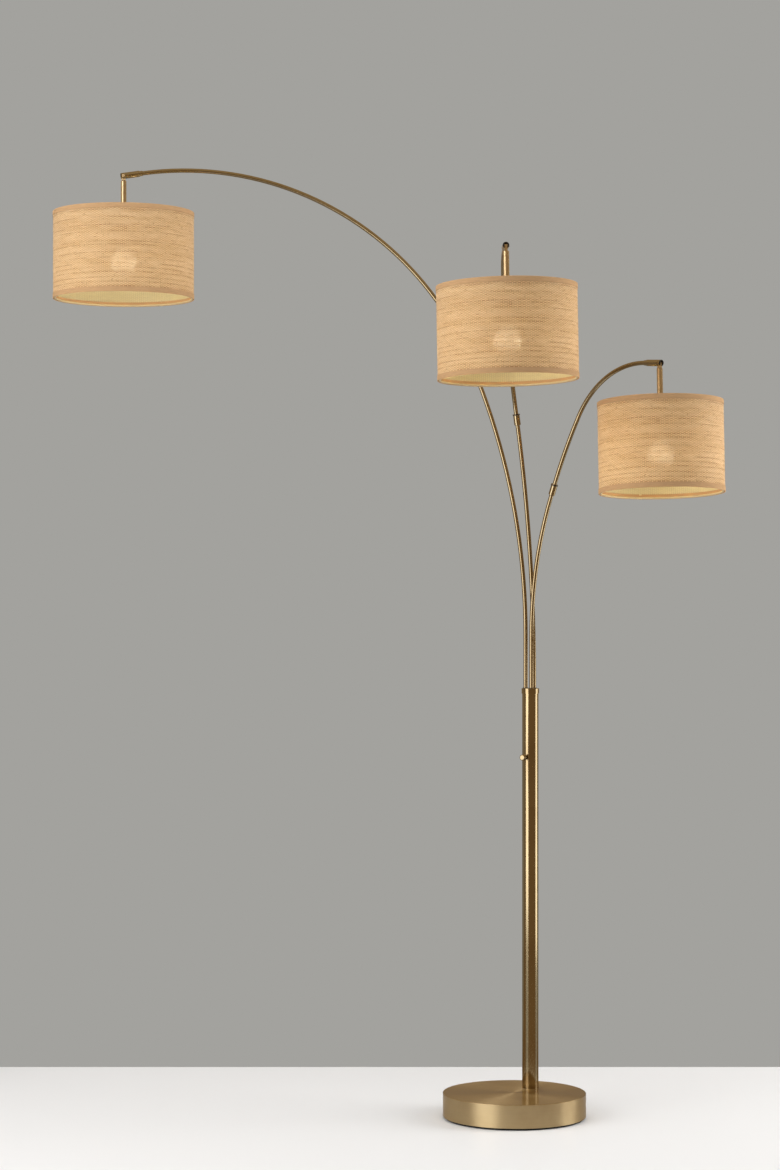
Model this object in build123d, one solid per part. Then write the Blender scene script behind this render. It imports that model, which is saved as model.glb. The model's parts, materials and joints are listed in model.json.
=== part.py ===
"""Arc floor lamp: a weighted round base, one pole, and three curved arms that carry drum shades.

Millimetres. The origin is the middle of the base's underside, +Z is up, +X is the lamp's right and
its front faces -Y. The arms are named for how high they reach: high, mid and low.
"""

from build123d import *

import os
from dataclasses import dataclass
from math import atan2, cos, degrees, radians, sin

# Base
BASE_DIAMETER = 330.0
BASE_HEIGHT = 58.0
PAD_THICKNESS = 5.0
PAD_INSET = 6.0
COVER_WALL = 1.6
COVER_EDGE_RADIUS = 1.2
WEIGHT_THICKNESS = 24.0
BOSS_MARGIN = 11.0  # how far the weight's boss reaches past the pole
NUT_ROOM = 8.0  # space round the nut in the weight's pocket
POLE_X = 40.0
POLE_Y = 62.0

# Cord bushing in the back of the cover
BUSHING_BORE = 7.0
BUSHING_WALL = 2.0
BUSHING_LIP = 2.5
BUSHING_LIP_THICKNESS = 2.0

# Pole and the stud that holds it to the base
POLE_DIAMETER = 38.0
POLE_WALL = 1.5
LOWER_POLE_LENGTH = 655.0
UPPER_POLE_LENGTH = 272.0
COUPLER_LENGTH = 60.0
COUPLER_WALL = 3.0
FOOT_HEIGHT = 20.0
STUD_DIAMETER = 10.0
STUD_WALL = 1.5
STUD_TAIL = 2.0
NUT_WIDTH = 17.0
NUT_HEIGHT = 8.0

# Pole cap and the seats of the arms
CAP_WALL = 1.3
CAP_HEIGHT = 12.0
CAP_PLATE = 3.0
CAP_EDGE_RADIUS = 0.6
ROOT_RADIUS = 11.5  # from the pole's axis to each arm's axis
BUSH_WALL = 1.0
BUSH_FLANGE = 0.9
BUSH_FLANGE_THICKNESS = 1.2
HOLDER_DROP = 50.0  # from the top of the pole tube to the top of the holder
HOLDER_HEIGHT = 30.0
SEAT_DEPTH = 20.0

# Rotary switch
SWITCH_DROP = 157.0  # from the top of the pole tube to the switch's axis
SWITCH_HEADING = -124.0
SWITCH_BODY_DIAMETER = 20.0
SWITCH_BODY_LENGTH = 18.0
SWITCH_SETBACK = 4.0  # from the tube's inner wall to the body's face
SWITCH_NECK_DIAMETER = 8.0
SWITCH_NUT_DIAMETER = 10.5
SWITCH_NUT_HEIGHT = 3.5
SHAFT_DIAMETER = 4.0
SHAFT_DEPTH = 6.0  # how far the shaft reaches into the switch's body
KNOB_DIAMETER = 13.5
KNOB_LENGTH = 11.0
KNOB_COLLAR_DIAMETER = 9.0
KNOB_COLLAR_LENGTH = 3.0
KNOB_GAP = 1.5
KNOB_EDGE_RADIUS = 2.0

# Arm tubes, collars and cables
TUBE_DIAMETER = 10.0
TUBE_WALL = 1.0
LEAD_DIAMETER = 5.0
LEAD_SHIFT = 11.0  # how far the pole's cable steps aside for the switch
LEAD_BEND = 20.0
COLLAR_DIAMETER = 15.0
COLLAR_LENGTH = 26.0
COLLAR_CHAMFER = 1.0
COLLAR_LIP = 1.0  # how far the lip at the upper end stands out
COLLAR_LIP_HEIGHT = 2.5

# Knuckle between an arm and its shade
ELBOW_DIAMETER = 14.5
ELBOW_LENGTH = 45.0
ELBOW_CHAMFER = 1.0
ELBOW_NECK_LENGTH = 7.0
ELBOW_NECK_WALL = 1.0
ELBOW_SEAT_DEPTH = 12.0  # past the neck
PIVOT_SETBACK = 6.8
PIVOT_DIAMETER = 4.0
SCREW_HEAD_DIAMETER = 7.0
SCREW_HEAD_HEIGHT = 1.6
SCREW_SLOT_WIDTH = 1.0
SCREW_SLOT_DEPTH = 0.8
TONGUE_WIDTH = 9.0
TONGUE_THICKNESS = 6.0
SLOT_ROOM = 0.6  # over the tongue's round end
SWING_ROOM = 4.5  # behind the tongue, for tilting inward
KNUCKLE_GAP = 3.5

# Drop rod, lamp holder and bulb
ROD_DIAMETER = 13.2
ROD_WALL = 2.6
ROD_CHAMFER = 2.0
NIPPLE_DIAMETER = 10.0
NIPPLE_WALL = 1.5
NIPPLE_LENGTH = 12.0
CUP_DROP = 4.0  # from the shade's top down to the cup's top
CUP_WALL = 1.2
CUP_HEIGHT = 24.0
SOCKET_DIAMETER = 38.0
SOCKET_LENGTH = 62.0
SOCKET_BORE = 29.0
SOCKET_BORE_DEPTH = 36.0
SHOULDER_WIDTH = 3.0
SHOULDER_THICKNESS = 3.0
RING_NUT_WIDTH = 3.0
RING_NUT_HEIGHT = 8.0
BULB_DIAMETER = 60.0
BULB_LENGTH = 82.0
BULB_NECK_DIAMETER = 27.0
BULB_NECK_LENGTH = 6.0
BULB_WALL = 1.0
BULB_BASE_DIAMETER = 26.0
BULB_BASE_LENGTH = 28.0

# Shades
SHADE_DROP = 86.0  # from the pivot to the shade's top
SHADE_HEIGHT = 203.0
DRUM_WALL = 1.4
BINDING_WIDTH = 11.0
BINDING_THICKNESS = 0.6
WIRE_DIAMETER = 4.0
SPOKE_COUNT = 3
HUB_WIDTH = 5.0
HUB_THICKNESS = 2.2

# The high arm, which reaches out to the left
HIGH_ROOT = 160.0
HIGH_HEADING = 178.0
HIGH_RISE = 123.5
HIGH_LOWER_RADIUS = 1652.0
HIGH_LOWER_BEND = 21.1
HIGH_UPPER_RADIUS = 731.6
HIGH_UPPER_BEND = 76.2
HIGH_SHADE_DIAMETER = 330.0

# The mid arm, which reaches forward; its upper tube is turned in the collar
MID_ROOT = 40.0
MID_HEADING = 232.7
MID_RISE = 20.0
MID_LOWER_RADIUS = 2630.0
MID_LOWER_BEND = 12.95
MID_TURN = 38.5
MID_UPPER_RADIUS = 405.0
MID_UPPER_BEND = 79.7
MID_SHADE_DIAMETER = 305.0
MID_LEAN = 1.0  # the shade's bottom stands out this far, in degrees
MID_ROLL = 1.0  # the knuckle is turned this far on the tube, in degrees

# The low arm, which reaches forward and to the right
LOW_ROOT = 280.0
LOW_HEADING = -49.5
LOW_RISE = 119.7
LOW_LOWER_RADIUS = 832.0
LOW_LOWER_BEND = 23.2
LOW_UPPER_RADIUS = 1175.0
LOW_UPPER_BEND = 8.4
LOW_TIP_RADIUS = 226.3
LOW_TIP_BEND = 62.5
LOW_SHADE_DIAMETER = 279.0
LOW_LEAN = 3.0
LOW_ROLL = -1.6

# Clearances
FIT_GAP = 0.05  # radial, between a shaft or plug and its bore
FACE_GAP = 0.2  # between faces that pass or nearly touch
LEAD_ROOM = 0.5  # round a cable in its hole
BOND_GAP = 0.05  # glue line
CUT_PAST = 1.0  # how far a hole or slot is cut past the face that it opens

# Heights that follow from the sizes above
COVER_TOP = BASE_HEIGHT
COVER_UNDERSIDE = COVER_TOP - COVER_WALL
WEIGHT_TOP = PAD_THICKNESS + WEIGHT_THICKNESS
POLE_JOINT = COVER_TOP + LOWER_POLE_LENGTH
POLE_TOP = POLE_JOINT + UPPER_POLE_LENGTH
CAP_TOP = POLE_TOP + CAP_PLATE
HOLDER_TOP = POLE_TOP - HOLDER_DROP
HOLDER_BOTTOM = HOLDER_TOP - HOLDER_HEIGHT
ARM_SEAT = HOLDER_TOP - SEAT_DEPTH
SWITCH_HEIGHT = POLE_TOP - SWITCH_DROP
POLE_BORE = POLE_DIAMETER - 2 * POLE_WALL
STUD_BORE = STUD_DIAMETER - 2 * STUD_WALL
LEAD_HOLE = LEAD_DIAMETER + 2 * LEAD_ROOM
NUT_POCKET_DEPTH = NUT_HEIGHT + STUD_TAIL + NUT_ROOM / 2
NUT_TOP = PAD_THICKNESS + NUT_POCKET_DEPTH
STUD_BOTTOM = NUT_TOP - NUT_HEIGHT - STUD_TAIL
STUD_TOP = COVER_TOP + FOOT_HEIGHT
PIVOT_REACH = ELBOW_NECK_LENGTH + ELBOW_LENGTH - PIVOT_SETBACK  # from the arm's end to the pivot

UP = Vector(0, 0, 1)
STANDING = (Align.CENTER, Align.CENTER, Align.MIN)
POLE_AXIS = Pos(POLE_X, POLE_Y, 0)


@dataclass
class Arm:
    """One arm: where it stands, the bends of its two tubes and the shade that it carries."""

    name: str
    root: float
    heading: float
    rise: float
    lower_bend: tuple
    upper_bends: list
    turn: float
    shade_diameter: float
    lean: float = 0.0
    roll: float = 0.0


ARMS = [
    Arm(
        "high", HIGH_ROOT, HIGH_HEADING, HIGH_RISE,
        (HIGH_LOWER_RADIUS, HIGH_LOWER_BEND), [(HIGH_UPPER_RADIUS, HIGH_UPPER_BEND)],
        0.0, HIGH_SHADE_DIAMETER,
    ),
    Arm(
        "mid", MID_ROOT, MID_HEADING, MID_RISE,
        (MID_LOWER_RADIUS, MID_LOWER_BEND), [(MID_UPPER_RADIUS, MID_UPPER_BEND)],
        MID_TURN, MID_SHADE_DIAMETER, MID_LEAN, MID_ROLL,
    ),
    Arm(
        "low", LOW_ROOT, LOW_HEADING, LOW_RISE,
        (LOW_LOWER_RADIUS, LOW_LOWER_BEND),
        [(LOW_UPPER_RADIUS, LOW_UPPER_BEND), (LOW_TIP_RADIUS, LOW_TIP_BEND)],
        0.0, LOW_SHADE_DIAMETER, LOW_LEAN, LOW_ROLL,
    ),
]


def heading_vector(angle):
    """The level direction at an angle in degrees from +X."""
    return Vector(cos(radians(angle)), sin(radians(angle)), 0)


def disc(diameter, low, high):
    """An upright cylinder on the Z axis between two heights."""
    return Pos(0, 0, low) * Cylinder(diameter / 2, high - low, align=STANDING)


def pipe(outside, inside, low, high):
    """An upright tube on the Z axis between two heights."""
    return disc(outside, low, high) - disc(inside, low - CUT_PAST, high + CUT_PAST)


def slab(width, depth, low, high):
    """An upright box on the Z axis between two heights."""
    return Pos(0, 0, low) * Box(width, depth, high - low, align=STANDING)


def rod_between(start, end, diameter):
    """A straight round bar from one point to another."""
    start, end = Vector(start), Vector(end)
    length = (end - start).length
    return Plane(origin=start, z_dir=end - start).location * disc(diameter, 0, length)


class Course:
    """The centreline of a bent tube, laid out from its start as straights, bends and turns."""

    def __init__(self, point, along, toward):
        self.point = point
        self.along = along
        self.toward = toward
        self.edges = []

    def straight(self, length):
        """Goes straight on."""
        end = self.point + self.along * length
        self.edges.append(Edge.make_line(self.point, end))
        self.point = end

    def bend(self, radius, angle):
        """Follows an arc toward the bending side."""
        swing = radians(angle)
        end = self.point + self.along * (radius * sin(swing)) + self.toward * (radius * (1 - cos(swing)))
        self.edges.append(Edge.make_tangent_arc(self.point, self.along, end))
        along, toward = self.along, self.toward
        self.along = along * cos(swing) + toward * sin(swing)
        self.toward = toward * cos(swing) - along * sin(swing)
        self.point = end

    def turn(self, angle):
        """Turns the bending side about the tube's own axis."""
        self.toward = self.toward.rotate(Axis(self.point, self.along), angle)

    def cut(self):
        """Hands over the edges laid so far and starts a new run at the same place."""
        edges, self.edges = self.edges, []
        return edges


def sweep_round(edges, outside, inside=0.0):
    """A round bar, or a tube, along a run of edges."""
    path = Wire(edges)
    section = Circle(outside / 2)
    if inside:
        section = section - Circle(inside / 2)
    return sweep(sections=Plane(origin=path @ 0, z_dir=path % 0) * section, path=path)


def root_point(arm, height):
    """A point on an arm's upright swivel axis."""
    return Vector(POLE_X, POLE_Y, height) + heading_vector(arm.root) * ROOT_RADIUS


def lay_out(arm):
    """The edges of an arm's lower and upper tubes, and the plane of its elbow (Z outward, X upward)."""
    course = Course(root_point(arm, ARM_SEAT + FACE_GAP), UP, heading_vector(arm.heading))
    course.straight(CAP_TOP - ARM_SEAT - FACE_GAP + arm.rise)
    course.bend(*arm.lower_bend)
    course.straight(COLLAR_LENGTH / 2)
    lower = course.cut()
    course.turn(arm.turn)
    course.straight(COLLAR_LENGTH / 2)
    for radius, angle in arm.upper_bends:
        course.bend(radius, angle)
    up = (UP - course.along * UP.dot(course.along)).normalized()
    up = up.rotate(Axis((0, 0, 0), course.along), arm.roll)
    elbow = Plane(origin=course.point, x_dir=up, z_dir=course.along)
    course.straight(ELBOW_NECK_LENGTH + ELBOW_SEAT_DEPTH)
    return lower, course.cut(), elbow


def head_plane(arm, elbow):
    """The plane that a head is built in: origin on the pivot, X outward, Z up along the drop rod."""
    pivot = elbow.origin + elbow.z_dir * PIVOT_REACH
    across = elbow.y_dir
    upright = (UP - across * UP.dot(across)).normalized()
    outward = upright.cross(across)
    lean = radians(arm.lean)
    up = upright * cos(lean) - outward * sin(lean)
    return Plane(origin=pivot, x_dir=outward * cos(lean) + upright * sin(lean), z_dir=up)


# Stand


def base_pad():
    """Dark pad that the lamp stands on, set in from the cover's edge."""
    return disc(BASE_DIAMETER - 2 * PAD_INSET, 0, PAD_THICKNESS)


def base_weight():
    """Cast disc with a boss under the pole and a pocket for the stud's nut."""
    weight = disc(BASE_DIAMETER - 2 * COVER_WALL - 2 * FACE_GAP, PAD_THICKNESS, WEIGHT_TOP)
    boss = disc(POLE_DIAMETER + 2 * BOSS_MARGIN, WEIGHT_TOP, COVER_UNDERSIDE)
    weight += POLE_AXIS * boss
    weight -= POLE_AXIS * disc(NUT_WIDTH + 2 * NUT_ROOM, PAD_THICKNESS, NUT_TOP)
    return weight - POLE_AXIS * disc(STUD_DIAMETER + 2 * FIT_GAP, 0, COVER_TOP)


def bushing_location():
    """The cord bushing's axis: out through the cover on the pole's side, over the weight."""
    height = (WEIGHT_TOP + COVER_UNDERSIDE) / 2
    out = heading_vector(degrees(atan2(POLE_Y, POLE_X)))
    return Plane(origin=Vector(0, 0, height), z_dir=out).location


def base_cover():
    """Spun cover: a shallow cup turned over, with holes for the stud and the cord bushing."""
    shell = disc(BASE_DIAMETER, PAD_THICKNESS, COVER_TOP)
    shell = fillet(shell.edges().group_by(Axis.Z)[-1], COVER_EDGE_RADIUS)
    shell -= disc(BASE_DIAMETER - 2 * COVER_WALL, PAD_THICKNESS - CUT_PAST, COVER_UNDERSIDE)
    shell -= POLE_AXIS * disc(STUD_DIAMETER + 2 * FIT_GAP, 0, COVER_TOP + CUT_PAST)
    hole = BUSHING_BORE + 2 * BUSHING_WALL + 2 * FIT_GAP
    side = BASE_DIAMETER / 2
    return shell - bushing_location() * disc(hole, side - 2 * COVER_WALL, side + CUT_PAST)


def cord_bushing():
    """Rubber bushing with a lip on each side of the cover's wall."""
    neck = BUSHING_BORE + 2 * BUSHING_WALL
    lip = neck + 2 * BUSHING_LIP
    outer_face = BASE_DIAMETER / 2 + FIT_GAP
    sag = BASE_DIAMETER / 2 - ((BASE_DIAMETER / 2) ** 2 - (lip / 2) ** 2) ** 0.5
    inner_face = BASE_DIAMETER / 2 - COVER_WALL - FIT_GAP - sag
    body = disc(neck, inner_face - BUSHING_LIP_THICKNESS, outer_face + BUSHING_LIP_THICKNESS)
    body += disc(lip, outer_face, outer_face + BUSHING_LIP_THICKNESS)
    body += disc(lip, inner_face - BUSHING_LIP_THICKNESS, inner_face)
    body -= disc(BUSHING_BORE, 0, BASE_DIAMETER)
    return bushing_location() * body


def pole_stud():
    """Hollow threaded stud from the nut up into the pole's foot."""
    return POLE_AXIS * pipe(STUD_DIAMETER, STUD_BORE, STUD_BOTTOM, STUD_TOP)


def stud_nut():
    """Hexagon nut in the weight's pocket."""
    nut = extrude(RegularPolygon(NUT_WIDTH / 2, 6, major_radius=False), NUT_HEIGHT)
    nut -= disc(STUD_DIAMETER + 2 * FIT_GAP, -CUT_PAST, NUT_HEIGHT + CUT_PAST)
    return POLE_AXIS * Pos(0, 0, NUT_TOP - NUT_HEIGHT) * nut


def pole_foot():
    """Plug in the bottom of the lower pole, threaded on the stud."""
    bore = STUD_DIAMETER + 2 * FIT_GAP
    return POLE_AXIS * pipe(POLE_BORE - 2 * FIT_GAP, bore, COVER_TOP, COVER_TOP + FOOT_HEIGHT)


def lower_pole():
    """Lower section of the pole."""
    return POLE_AXIS * pipe(POLE_DIAMETER, POLE_BORE, COVER_TOP, POLE_JOINT)


def pole_coupler():
    """Sleeve inside the joint of the two pole sections."""
    outside = POLE_BORE - 2 * FIT_GAP
    low = POLE_JOINT - COUPLER_LENGTH / 2
    return POLE_AXIS * pipe(outside, outside - 2 * COUPLER_WALL, low, low + COUPLER_LENGTH)


def switch_location():
    """The switch's axis: level, out of the pole on its heading."""
    origin = Vector(POLE_X, POLE_Y, SWITCH_HEIGHT)
    return Plane(origin=origin, x_dir=UP, z_dir=heading_vector(SWITCH_HEADING)).location


def upper_pole():
    """Upper section of the pole, drilled for the switch's neck."""
    tube = POLE_AXIS * pipe(POLE_DIAMETER, POLE_BORE, POLE_JOINT, POLE_TOP)
    return tube - switch_location() * disc(SWITCH_NECK_DIAMETER + 2 * FIT_GAP, 0, POLE_DIAMETER)


def pole_cap():
    """Turned cap over the pole's top, with three holes for the arm bushes."""
    outside = POLE_DIAMETER + 2 * FIT_GAP + 2 * CAP_WALL
    cap = disc(outside, CAP_TOP - CAP_HEIGHT, CAP_TOP)
    cap = fillet(cap.edges().group_by(Axis.Z)[-1], CAP_EDGE_RADIUS)
    cap -= disc(POLE_DIAMETER + 2 * FIT_GAP, CAP_TOP - CAP_HEIGHT - CUT_PAST, POLE_TOP)
    cap = POLE_AXIS * cap
    hole = TUBE_DIAMETER + 4 * FIT_GAP + 2 * BUSH_WALL
    for arm in ARMS:
        cap -= Pos(*root_point(arm, 0)) * disc(hole, POLE_TOP - CUT_PAST, CAP_TOP + CUT_PAST)
    return cap


def arm_bushes():
    """Three flanged bushes in the cap, one round each arm."""
    bore = TUBE_DIAMETER + 2 * FIT_GAP
    neck = bore + 2 * BUSH_WALL
    bush = disc(neck, POLE_TOP, CAP_TOP + BUSH_FLANGE_THICKNESS)
    bush += disc(neck + 2 * BUSH_FLANGE, CAP_TOP, CAP_TOP + BUSH_FLANGE_THICKNESS)
    bush -= disc(bore, POLE_TOP - CUT_PAST, CAP_TOP + BUSH_FLANGE_THICKNESS + CUT_PAST)
    return Compound(children=[Pos(*root_point(arm, 0)) * bush for arm in ARMS])


def arm_holder():
    """Block inside the pole with a seat for each arm and holes for the cables."""
    block = POLE_AXIS * disc(POLE_BORE - 2 * FIT_GAP, HOLDER_BOTTOM, HOLDER_TOP)
    block -= POLE_AXIS * disc(LEAD_HOLE, HOLDER_BOTTOM - CUT_PAST, ARM_SEAT)
    for arm in ARMS:
        seat = Pos(*root_point(arm, 0))
        block -= seat * disc(TUBE_DIAMETER + 2 * FIT_GAP, ARM_SEAT, HOLDER_TOP + CUT_PAST)
        block -= seat * disc(LEAD_HOLE, HOLDER_BOTTOM - CUT_PAST, ARM_SEAT + CUT_PAST)
    return block


def pole_lead():
    """Cable inside the pole, from the stud past the switch to the holder."""
    bend_radius = LEAD_SHIFT / 2 / (1 - cos(radians(LEAD_BEND)))
    step_height = 2 * bend_radius * sin(radians(LEAD_BEND))
    course = Course(Vector(POLE_X, POLE_Y, STUD_BOTTOM), UP, heading_vector(SWITCH_HEADING + 180))
    course.straight(STUD_TOP - STUD_BOTTOM)
    for rise in (HOLDER_BOTTOM - STUD_TOP - 2 * step_height, ARM_SEAT - HOLDER_BOTTOM):
        course.bend(bend_radius, LEAD_BEND)
        course.turn(180)
        course.bend(bend_radius, LEAD_BEND)
        course.straight(rise)
    return sweep_round(course.cut(), LEAD_DIAMETER)


def switch_face():
    """How far the front of the switch's body lies from the pole's axis."""
    return POLE_BORE / 2 - SWITCH_SETBACK


def neck_end():
    """How far the switch's neck reaches from the pole's axis."""
    return POLE_DIAMETER / 2 + FIT_GAP + SWITCH_NUT_HEIGHT


def switch_body():
    """Rotary switch inside the pole, with its neck through the wall."""
    face = switch_face()
    body = disc(SWITCH_BODY_DIAMETER, face - SWITCH_BODY_LENGTH, face)
    body += disc(SWITCH_NECK_DIAMETER, face, neck_end())
    body -= disc(SHAFT_DIAMETER + 2 * FIT_GAP, face - SHAFT_DEPTH, neck_end() + CUT_PAST)
    return switch_location() * body


def switch_nut():
    """Round nut on the switch's neck, against the pole."""
    bore = SWITCH_NECK_DIAMETER + 2 * FIT_GAP
    return switch_location() * pipe(SWITCH_NUT_DIAMETER, bore, POLE_DIAMETER / 2 + FIT_GAP, neck_end())


def switch_shaft():
    """Shaft that turns in the switch's neck and carries the knob."""
    end = neck_end() + KNOB_GAP + KNOB_COLLAR_LENGTH + KNOB_LENGTH / 2
    return switch_location() * disc(SHAFT_DIAMETER, switch_face() - SHAFT_DEPTH + FACE_GAP, end)


def switch_knob():
    """Turned knob with a small collar behind its head."""
    back = neck_end() + KNOB_GAP
    head_back = back + KNOB_COLLAR_LENGTH
    front = head_back + KNOB_LENGTH
    knob = disc(KNOB_DIAMETER, head_back, front)
    knob = fillet(knob.edges().filter_by(GeomType.CIRCLE), KNOB_EDGE_RADIUS)
    knob += disc(KNOB_COLLAR_DIAMETER, back, head_back + KNOB_EDGE_RADIUS)
    knob -= disc(SHAFT_DIAMETER + 2 * BOND_GAP, back - CUT_PAST, head_back + KNOB_LENGTH / 2 + BOND_GAP)
    return switch_location() * knob


# Arms


def collar(lower):
    """Sleeve over the joint of an arm's two tubes, chamfered below and lipped above."""
    joint = lower[-1]
    end = COLLAR_LENGTH / 2
    sleeve = disc(COLLAR_DIAMETER, -end, end)
    sleeve = chamfer(sleeve.edges().group_by(Axis.Z)[0], COLLAR_CHAMFER)
    sleeve += disc(COLLAR_DIAMETER + 2 * COLLAR_LIP, end - COLLAR_LIP_HEIGHT, end)
    sleeve -= disc(TUBE_DIAMETER + 2 * FIT_GAP, -end - CUT_PAST, end + CUT_PAST)
    return Plane(origin=joint @ 1, z_dir=joint % 1).location * sleeve


def elbow_body(elbow):
    """Knuckle on the end of an arm: a neck on the tube, and a slot for the drop rod's tongue."""
    end = ELBOW_NECK_LENGTH + ELBOW_LENGTH
    seat = ELBOW_NECK_LENGTH + ELBOW_SEAT_DEPTH
    bore = TUBE_DIAMETER + 2 * FIT_GAP
    body = disc(ELBOW_DIAMETER, ELBOW_NECK_LENGTH, end)
    body = chamfer(body.edges().filter_by(GeomType.CIRCLE), ELBOW_CHAMFER)
    body += disc(bore + 2 * ELBOW_NECK_WALL, 0, ELBOW_NECK_LENGTH)
    body -= disc(bore, -CUT_PAST, seat)
    slot_top = TONGUE_WIDTH / 2 + SLOT_ROOM
    slot_back = PIVOT_REACH - TONGUE_WIDTH / 2 - SWING_ROOM
    slot_depth = slot_top + ELBOW_DIAMETER
    slot = slab(slot_depth, TONGUE_THICKNESS + 2 * FACE_GAP, slot_back, end + CUT_PAST)
    body -= Pos(slot_top - slot_depth / 2, 0, 0) * slot
    body -= disc(LEAD_HOLE, seat - CUT_PAST, slot_back + CUT_PAST)
    across = Pos(0, 0, PIVOT_REACH) * Rot(90, 0, 0)
    body -= across * disc(PIVOT_DIAMETER + 2 * BOND_GAP, -ELBOW_DIAMETER, ELBOW_DIAMETER)
    head_seat = ELBOW_DIAMETER / 2 - SCREW_HEAD_HEIGHT
    body -= across * disc(SCREW_HEAD_DIAMETER + 2 * FACE_GAP, head_seat, ELBOW_DIAMETER)
    return elbow.location * body


def pivot_screw(elbow):
    """Slotted cross screw that the drop rod's tongue turns on."""
    head_seat = ELBOW_DIAMETER / 2 - SCREW_HEAD_HEIGHT
    top = ELBOW_DIAMETER / 2
    screw = disc(PIVOT_DIAMETER, -head_seat, head_seat + BOND_GAP)
    screw += disc(SCREW_HEAD_DIAMETER, head_seat + BOND_GAP, top)
    screw -= slab(SCREW_SLOT_WIDTH, SCREW_HEAD_DIAMETER + CUT_PAST, top - SCREW_SLOT_DEPTH, top + CUT_PAST)
    return elbow.location * Pos(0, 0, PIVOT_REACH) * Rot(90, 0, 0) * screw


# Heads, each built with its pivot at the origin and its shade hanging down -Z

SHADE_TOP = -SHADE_DROP
CUP_TOP = SHADE_TOP - CUP_DROP
CUP_MOUTH = CUP_TOP - CUP_HEIGHT
SOCKET_TOP = CUP_TOP - CUP_WALL - FACE_GAP
SOCKET_MOUTH = SOCKET_TOP - SOCKET_LENGTH
SHOULDER_BOTTOM = CUP_MOUTH - FACE_GAP - SHOULDER_THICKNESS
HUB_TOP = SHOULDER_BOTTOM - BOND_GAP
RING_NUT_TOP = HUB_TOP - HUB_THICKNESS - BOND_GAP


def drop_rod():
    """Rod under the knuckle: a drilled tongue at the top and a threaded nipple at the bottom."""
    top = -(ELBOW_DIAMETER / 2 + KNUCKLE_GAP)
    rod = disc(ROD_DIAMETER, CUP_TOP, top)
    rod = chamfer(rod.edges().group_by(Axis.Z)[-1], ROD_CHAMFER)
    rod += disc(NIPPLE_DIAMETER, CUP_TOP - NIPPLE_LENGTH, CUP_TOP)
    rod -= disc(ROD_DIAMETER - 2 * ROD_WALL, CUP_TOP, top - ROD_CHAMFER - ROD_WALL)
    rod -= disc(NIPPLE_DIAMETER - 2 * NIPPLE_WALL, CUP_TOP - NIPPLE_LENGTH - CUT_PAST, CUP_TOP + CUT_PAST)
    rod += slab(TONGUE_WIDTH, TONGUE_THICKNESS, top - CUT_PAST, 0)
    rod += Rot(90, 0, 0) * disc(TONGUE_WIDTH, -TONGUE_THICKNESS / 2, TONGUE_THICKNESS / 2)
    return rod - Rot(90, 0, 0) * disc(PIVOT_DIAMETER + 2 * FIT_GAP, -TONGUE_WIDTH, TONGUE_WIDTH)


def socket_cup():
    """Spun cup over the top of the lamp holder."""
    inside = SOCKET_DIAMETER + 2 * FACE_GAP
    cup = disc(inside + 2 * CUP_WALL, CUP_MOUTH, CUP_TOP)
    cup -= disc(inside, CUP_MOUTH - CUT_PAST, CUP_TOP - CUP_WALL)
    return cup - disc(NIPPLE_DIAMETER + 2 * FIT_GAP, CUP_MOUTH, CUP_TOP + CUT_PAST)


def lamp_socket():
    """Lamp holder: threaded on the nipple, open below for the bulb, with a shoulder for the shade."""
    socket = disc(SOCKET_DIAMETER, SOCKET_MOUTH, SOCKET_TOP)
    shoulder = SOCKET_DIAMETER + 2 * SHOULDER_WIDTH
    socket += disc(shoulder, SHOULDER_BOTTOM, SHOULDER_BOTTOM + SHOULDER_THICKNESS)
    thread_end = CUP_TOP - NIPPLE_LENGTH - CUT_PAST
    socket -= disc(NIPPLE_DIAMETER + 2 * FIT_GAP, thread_end, SOCKET_TOP + CUT_PAST)
    return socket - disc(SOCKET_BORE, SOCKET_MOUTH - CUT_PAST, SOCKET_MOUTH + SOCKET_BORE_DEPTH)


def ring_nut():
    """Ring screwed up the lamp holder to clamp the shade's hub."""
    outside = SOCKET_DIAMETER + 2 * RING_NUT_WIDTH
    bore = SOCKET_DIAMETER + 2 * FIT_GAP
    return pipe(outside, bore, RING_NUT_TOP - RING_NUT_HEIGHT, RING_NUT_TOP)


def drum_inside(diameter):
    """Clear diameter inside a shade, between its bindings."""
    return diameter - 2 * (2 * BINDING_THICKNESS + DRUM_WALL + 2 * BOND_GAP)


def shade_frame(diameter):
    """Wire frame: a hub on spokes to the top ring, and a separate bottom ring."""
    ring_radius = drum_inside(diameter) / 2 - FACE_GAP - WIRE_DIAMETER / 2
    inset = BINDING_THICKNESS + WIRE_DIAMETER / 2
    top_ring = Pos(0, 0, SHADE_TOP - inset) * Torus(ring_radius, WIRE_DIAMETER / 2)
    bottom_ring = Pos(0, 0, SHADE_TOP - SHADE_HEIGHT + inset) * Torus(ring_radius, WIRE_DIAMETER / 2)
    hub_bore = SOCKET_DIAMETER + 2 * FACE_GAP
    hub_radius = hub_bore / 2 + HUB_WIDTH
    spider = top_ring + pipe(2 * hub_radius, hub_bore, HUB_TOP - HUB_THICKNESS, HUB_TOP)
    for spoke in range(SPOKE_COUNT):
        out = heading_vector(360 / SPOKE_COUNT * spoke)
        inner = out * (hub_radius - WIRE_DIAMETER / 4) + UP * (HUB_TOP - HUB_THICKNESS / 2)
        outer = out * ring_radius + UP * (SHADE_TOP - inset)
        spider += rod_between(inner, outer, WIRE_DIAMETER)
    return Compound(children=[spider, bottom_ring])


def shade_drum(diameter):
    """Wall of the shade."""
    outside = diameter - 2 * BINDING_THICKNESS - 2 * BOND_GAP
    edge = BINDING_THICKNESS + BOND_GAP
    return pipe(outside, outside - 2 * DRUM_WALL, SHADE_TOP - SHADE_HEIGHT + edge, SHADE_TOP - edge)


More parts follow.
